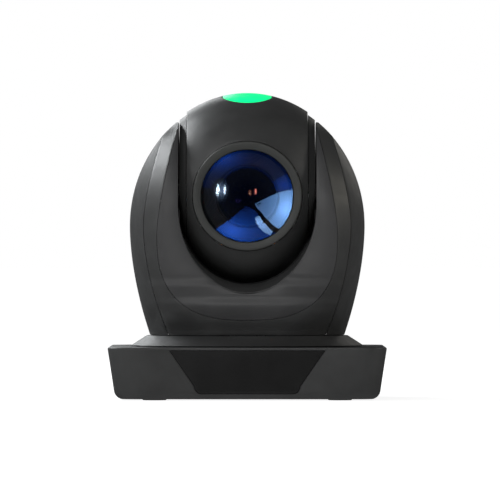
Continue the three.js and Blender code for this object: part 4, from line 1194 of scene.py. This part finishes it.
lamps = [
    softbox("front_left", (-0.6, -1.8, 1.05), (1.9, 1.2), 22, (1.0, 1.0, 1.0)),
    softbox("key_left", (-1.12, 0.6, 1.0), (0.9, 0.5), 21, (0.95, 0.98, 1.0)),
    softbox("back_left", (-0.45, 1.4, 0.65), (0.7, 0.5), 3.5, (0.96, 0.99, 1.0)),
    softbox("side_right", (1.3, -0.05, 0.6), (0.35, 0.5), 1.7, (1.0, 0.95, 0.82)),
    softbox("back_right", (0.6, 1.3, 0.5), (0.5, 0.5), 0.5, (1.0, 0.97, 0.9)),
    softbox("low_left", (-1.3, -0.6, 0.34), (0.5, 0.6), 1.6, (0.97, 0.99, 1.0)),
    softbox("low_right", (1.3, -0.58, 0.42), (0.4, 0.5), 1.0, (1.0, 0.97, 0.9)),
]
bpy.context.scene.view_settings.view_transform = "Standard"
print("lights ready")

# %% [markdown]
# The glass shows mostly what it reflects. A photographer hangs cards in front of a lens to draw
# shapes in it. Each card here is given as an outline on the glass: a point there mirrors a known
# direction, so its place on the card follows. The cards light nothing but the front glass.

# %% Reflection cards
glass_only = bpy.data.collections.new("front_glass_only")
bpy.context.scene.collection.children.link(glass_only)
glass_only.objects.link(front_glass)
all_but_glass = bpy.data.collections.new("all_but_the_glass")
for piece in (front_glass, zoom_lens):
    all_but_glass.objects.link(piece)
for member in all_but_glass.collection_objects:
    member.light_linking.link_state = "EXCLUDE"
for lamp in lamps[:2]:
    lamp.light_linking.receiver_collection = all_but_glass
CARD_DISTANCE = 1000
GLASS_SLOPE = 2 * GLASS_RISE / GLASS_RADIUS ** 2


def card_point(x, z, nearer=0):
    """Where the glass point (x, z), measured from the lens axis, sends the view."""
    radius = math.hypot(x, z)
    distance = CARD_DISTANCE - nearer
    stretch = distance * math.tan(2 * math.atan(GLASS_SLOPE * radius)) / max(radius, 0.01)
    return (x + x * stretch, -50 - distance, TILT_AXIS + z + z * stretch)


def card(name, outline, colour, strength, bright, reach, low=0.0, nearer=0):
    """An outline on the glass, brightest at bright and dimming over reach; nearer cards hide
    the ones behind them."""
    piece = ring_of(name, [card_point(*point, nearer) for point in outline])
    edit(piece)
    select_all()
    bpy.ops.mesh.fill()
    leave_edit()
    look, tree, shader = new_material(name + " light")
    middle = Vector(card_point(*bright, nearer)) * MM
    size = [(Vector(card_point(bright[0] + dx, bright[1] + dz, nearer)) * MM - middle).length
            for dx, dz in ((reach[0], 0), (0, reach[1]))]
    fall = fading(tree, middle, size, "QUADRATIC_SPHERE")
    paint(tree, fall, [(0.0, [c * low for c in colour]), (0.9, colour)], shader, "Emission Color")
    dial(shader, Emission_Strength=strength, Base_Color=(0, 0, 0, 1))
    piece.data.materials.append(look)
    for ray in ("camera", "diffuse", "transmission", "shadow"):
        setattr(piece, "visible_" + ray, False)
    piece.light_linking.receiver_collection = glass_only


def band(inner, outer, start, end, steps=24):
    """A part of a ring round the lens axis, from one angle to another in degrees."""
    angles = [math.radians(start + (end - start) * i / steps) for i in range(steps + 1)]
    arc = [(outer * math.cos(a), outer * math.sin(a)) for a in angles]
    return arc + [(inner * math.cos(a), inner * math.sin(a)) for a in reversed(angles)]


window_shape = [(3.8, -3.8), (8.5, -1.6), (17, 2.4), (26, 4.8), (28, -8), (24, -17), (18.5, -19.5),
                (11.2, -12.8), (5.7, -6.8)]
strip_shape = [(3.8, -11.7), (6.3, -10.4), (9.5, -14.5), (13.6, -18.8), (12, -20.5), (8.6, -19),
               (4.9, -14.4)]
pool_shape = [(-17.7, -18.3), (-5.7, -9.5), (0, -4.6), (4.5, -8), (9, -15), (15, -20), (8, -27),
              (-8, -27)]
card("bright_window", window_shape, (0.32, 0.56, 1.0), 32, (20.7, -6.8), (9, 13), 0.38, 10)
card("narrow_strip", strip_shape, (0.38, 0.60, 1.0), 30, (7, -13), (7, 7), 0.4, 20)
card("blue_pool", pool_shape, (0.045, 0.20, 1.0), 12, (-8, -18), (17, 14), 0.28)
card("navy_arc", band(15, 27, 30, 168), (0.02, 0.12, 0.75), 6, (-13, 20), (19, 9), 0.12)
card("navy_side", band(15.5, 27, 8, 30), (0.02, 0.14, 0.9), 5, (20, 6), (10, 8), 0.3, 10)
WHITE, EMBER, DEEP_EMBER = (0.9, 0.95, 1.0), (1.0, 0.30, 0.16), (1.0, 0.22, 0.12)
for name, centre, size, colour, strength, bright, reach, nearer in (
    ("lamp_glow", (-14, 3.3), (4.8, 6.5), (0.55, 0.7, 1.0), 9, (-14, 3.3), (5.4, 7), 20),
    ("lamp_1", (-15.7, 3.4), (1.25, 3.8), WHITE, 170, (-15.7, 3.5), (1.4, 4.2), 30),
    ("lamp_2", (-12.0, 3.3), (1.0, 3.0), WHITE, 150, (-12.0, 3.4), (1.15, 3.4), 30),
    ("ember_1", (1.5, 1.5), (0.7, 1.9), EMBER, 190, (1.5, 1.5), (0.8, 2.1), 30),
    ("ember_2", (4.3, 2.7), (0.7, 2.3), DEEP_EMBER, 150, (4.3, 2.7), (0.8, 2.6), 30),
    ("violet_spot", (-4.8, -2.2), (1.8, 1.4), (0.4, 0.2, 1.0), 9, (-4.8, -2.2), (1.9, 1.5), 30),
):
    card(name, oval(centre, *size, 24), colour, strength, bright, reach, 0, nearer)
print("reflection cards hung")
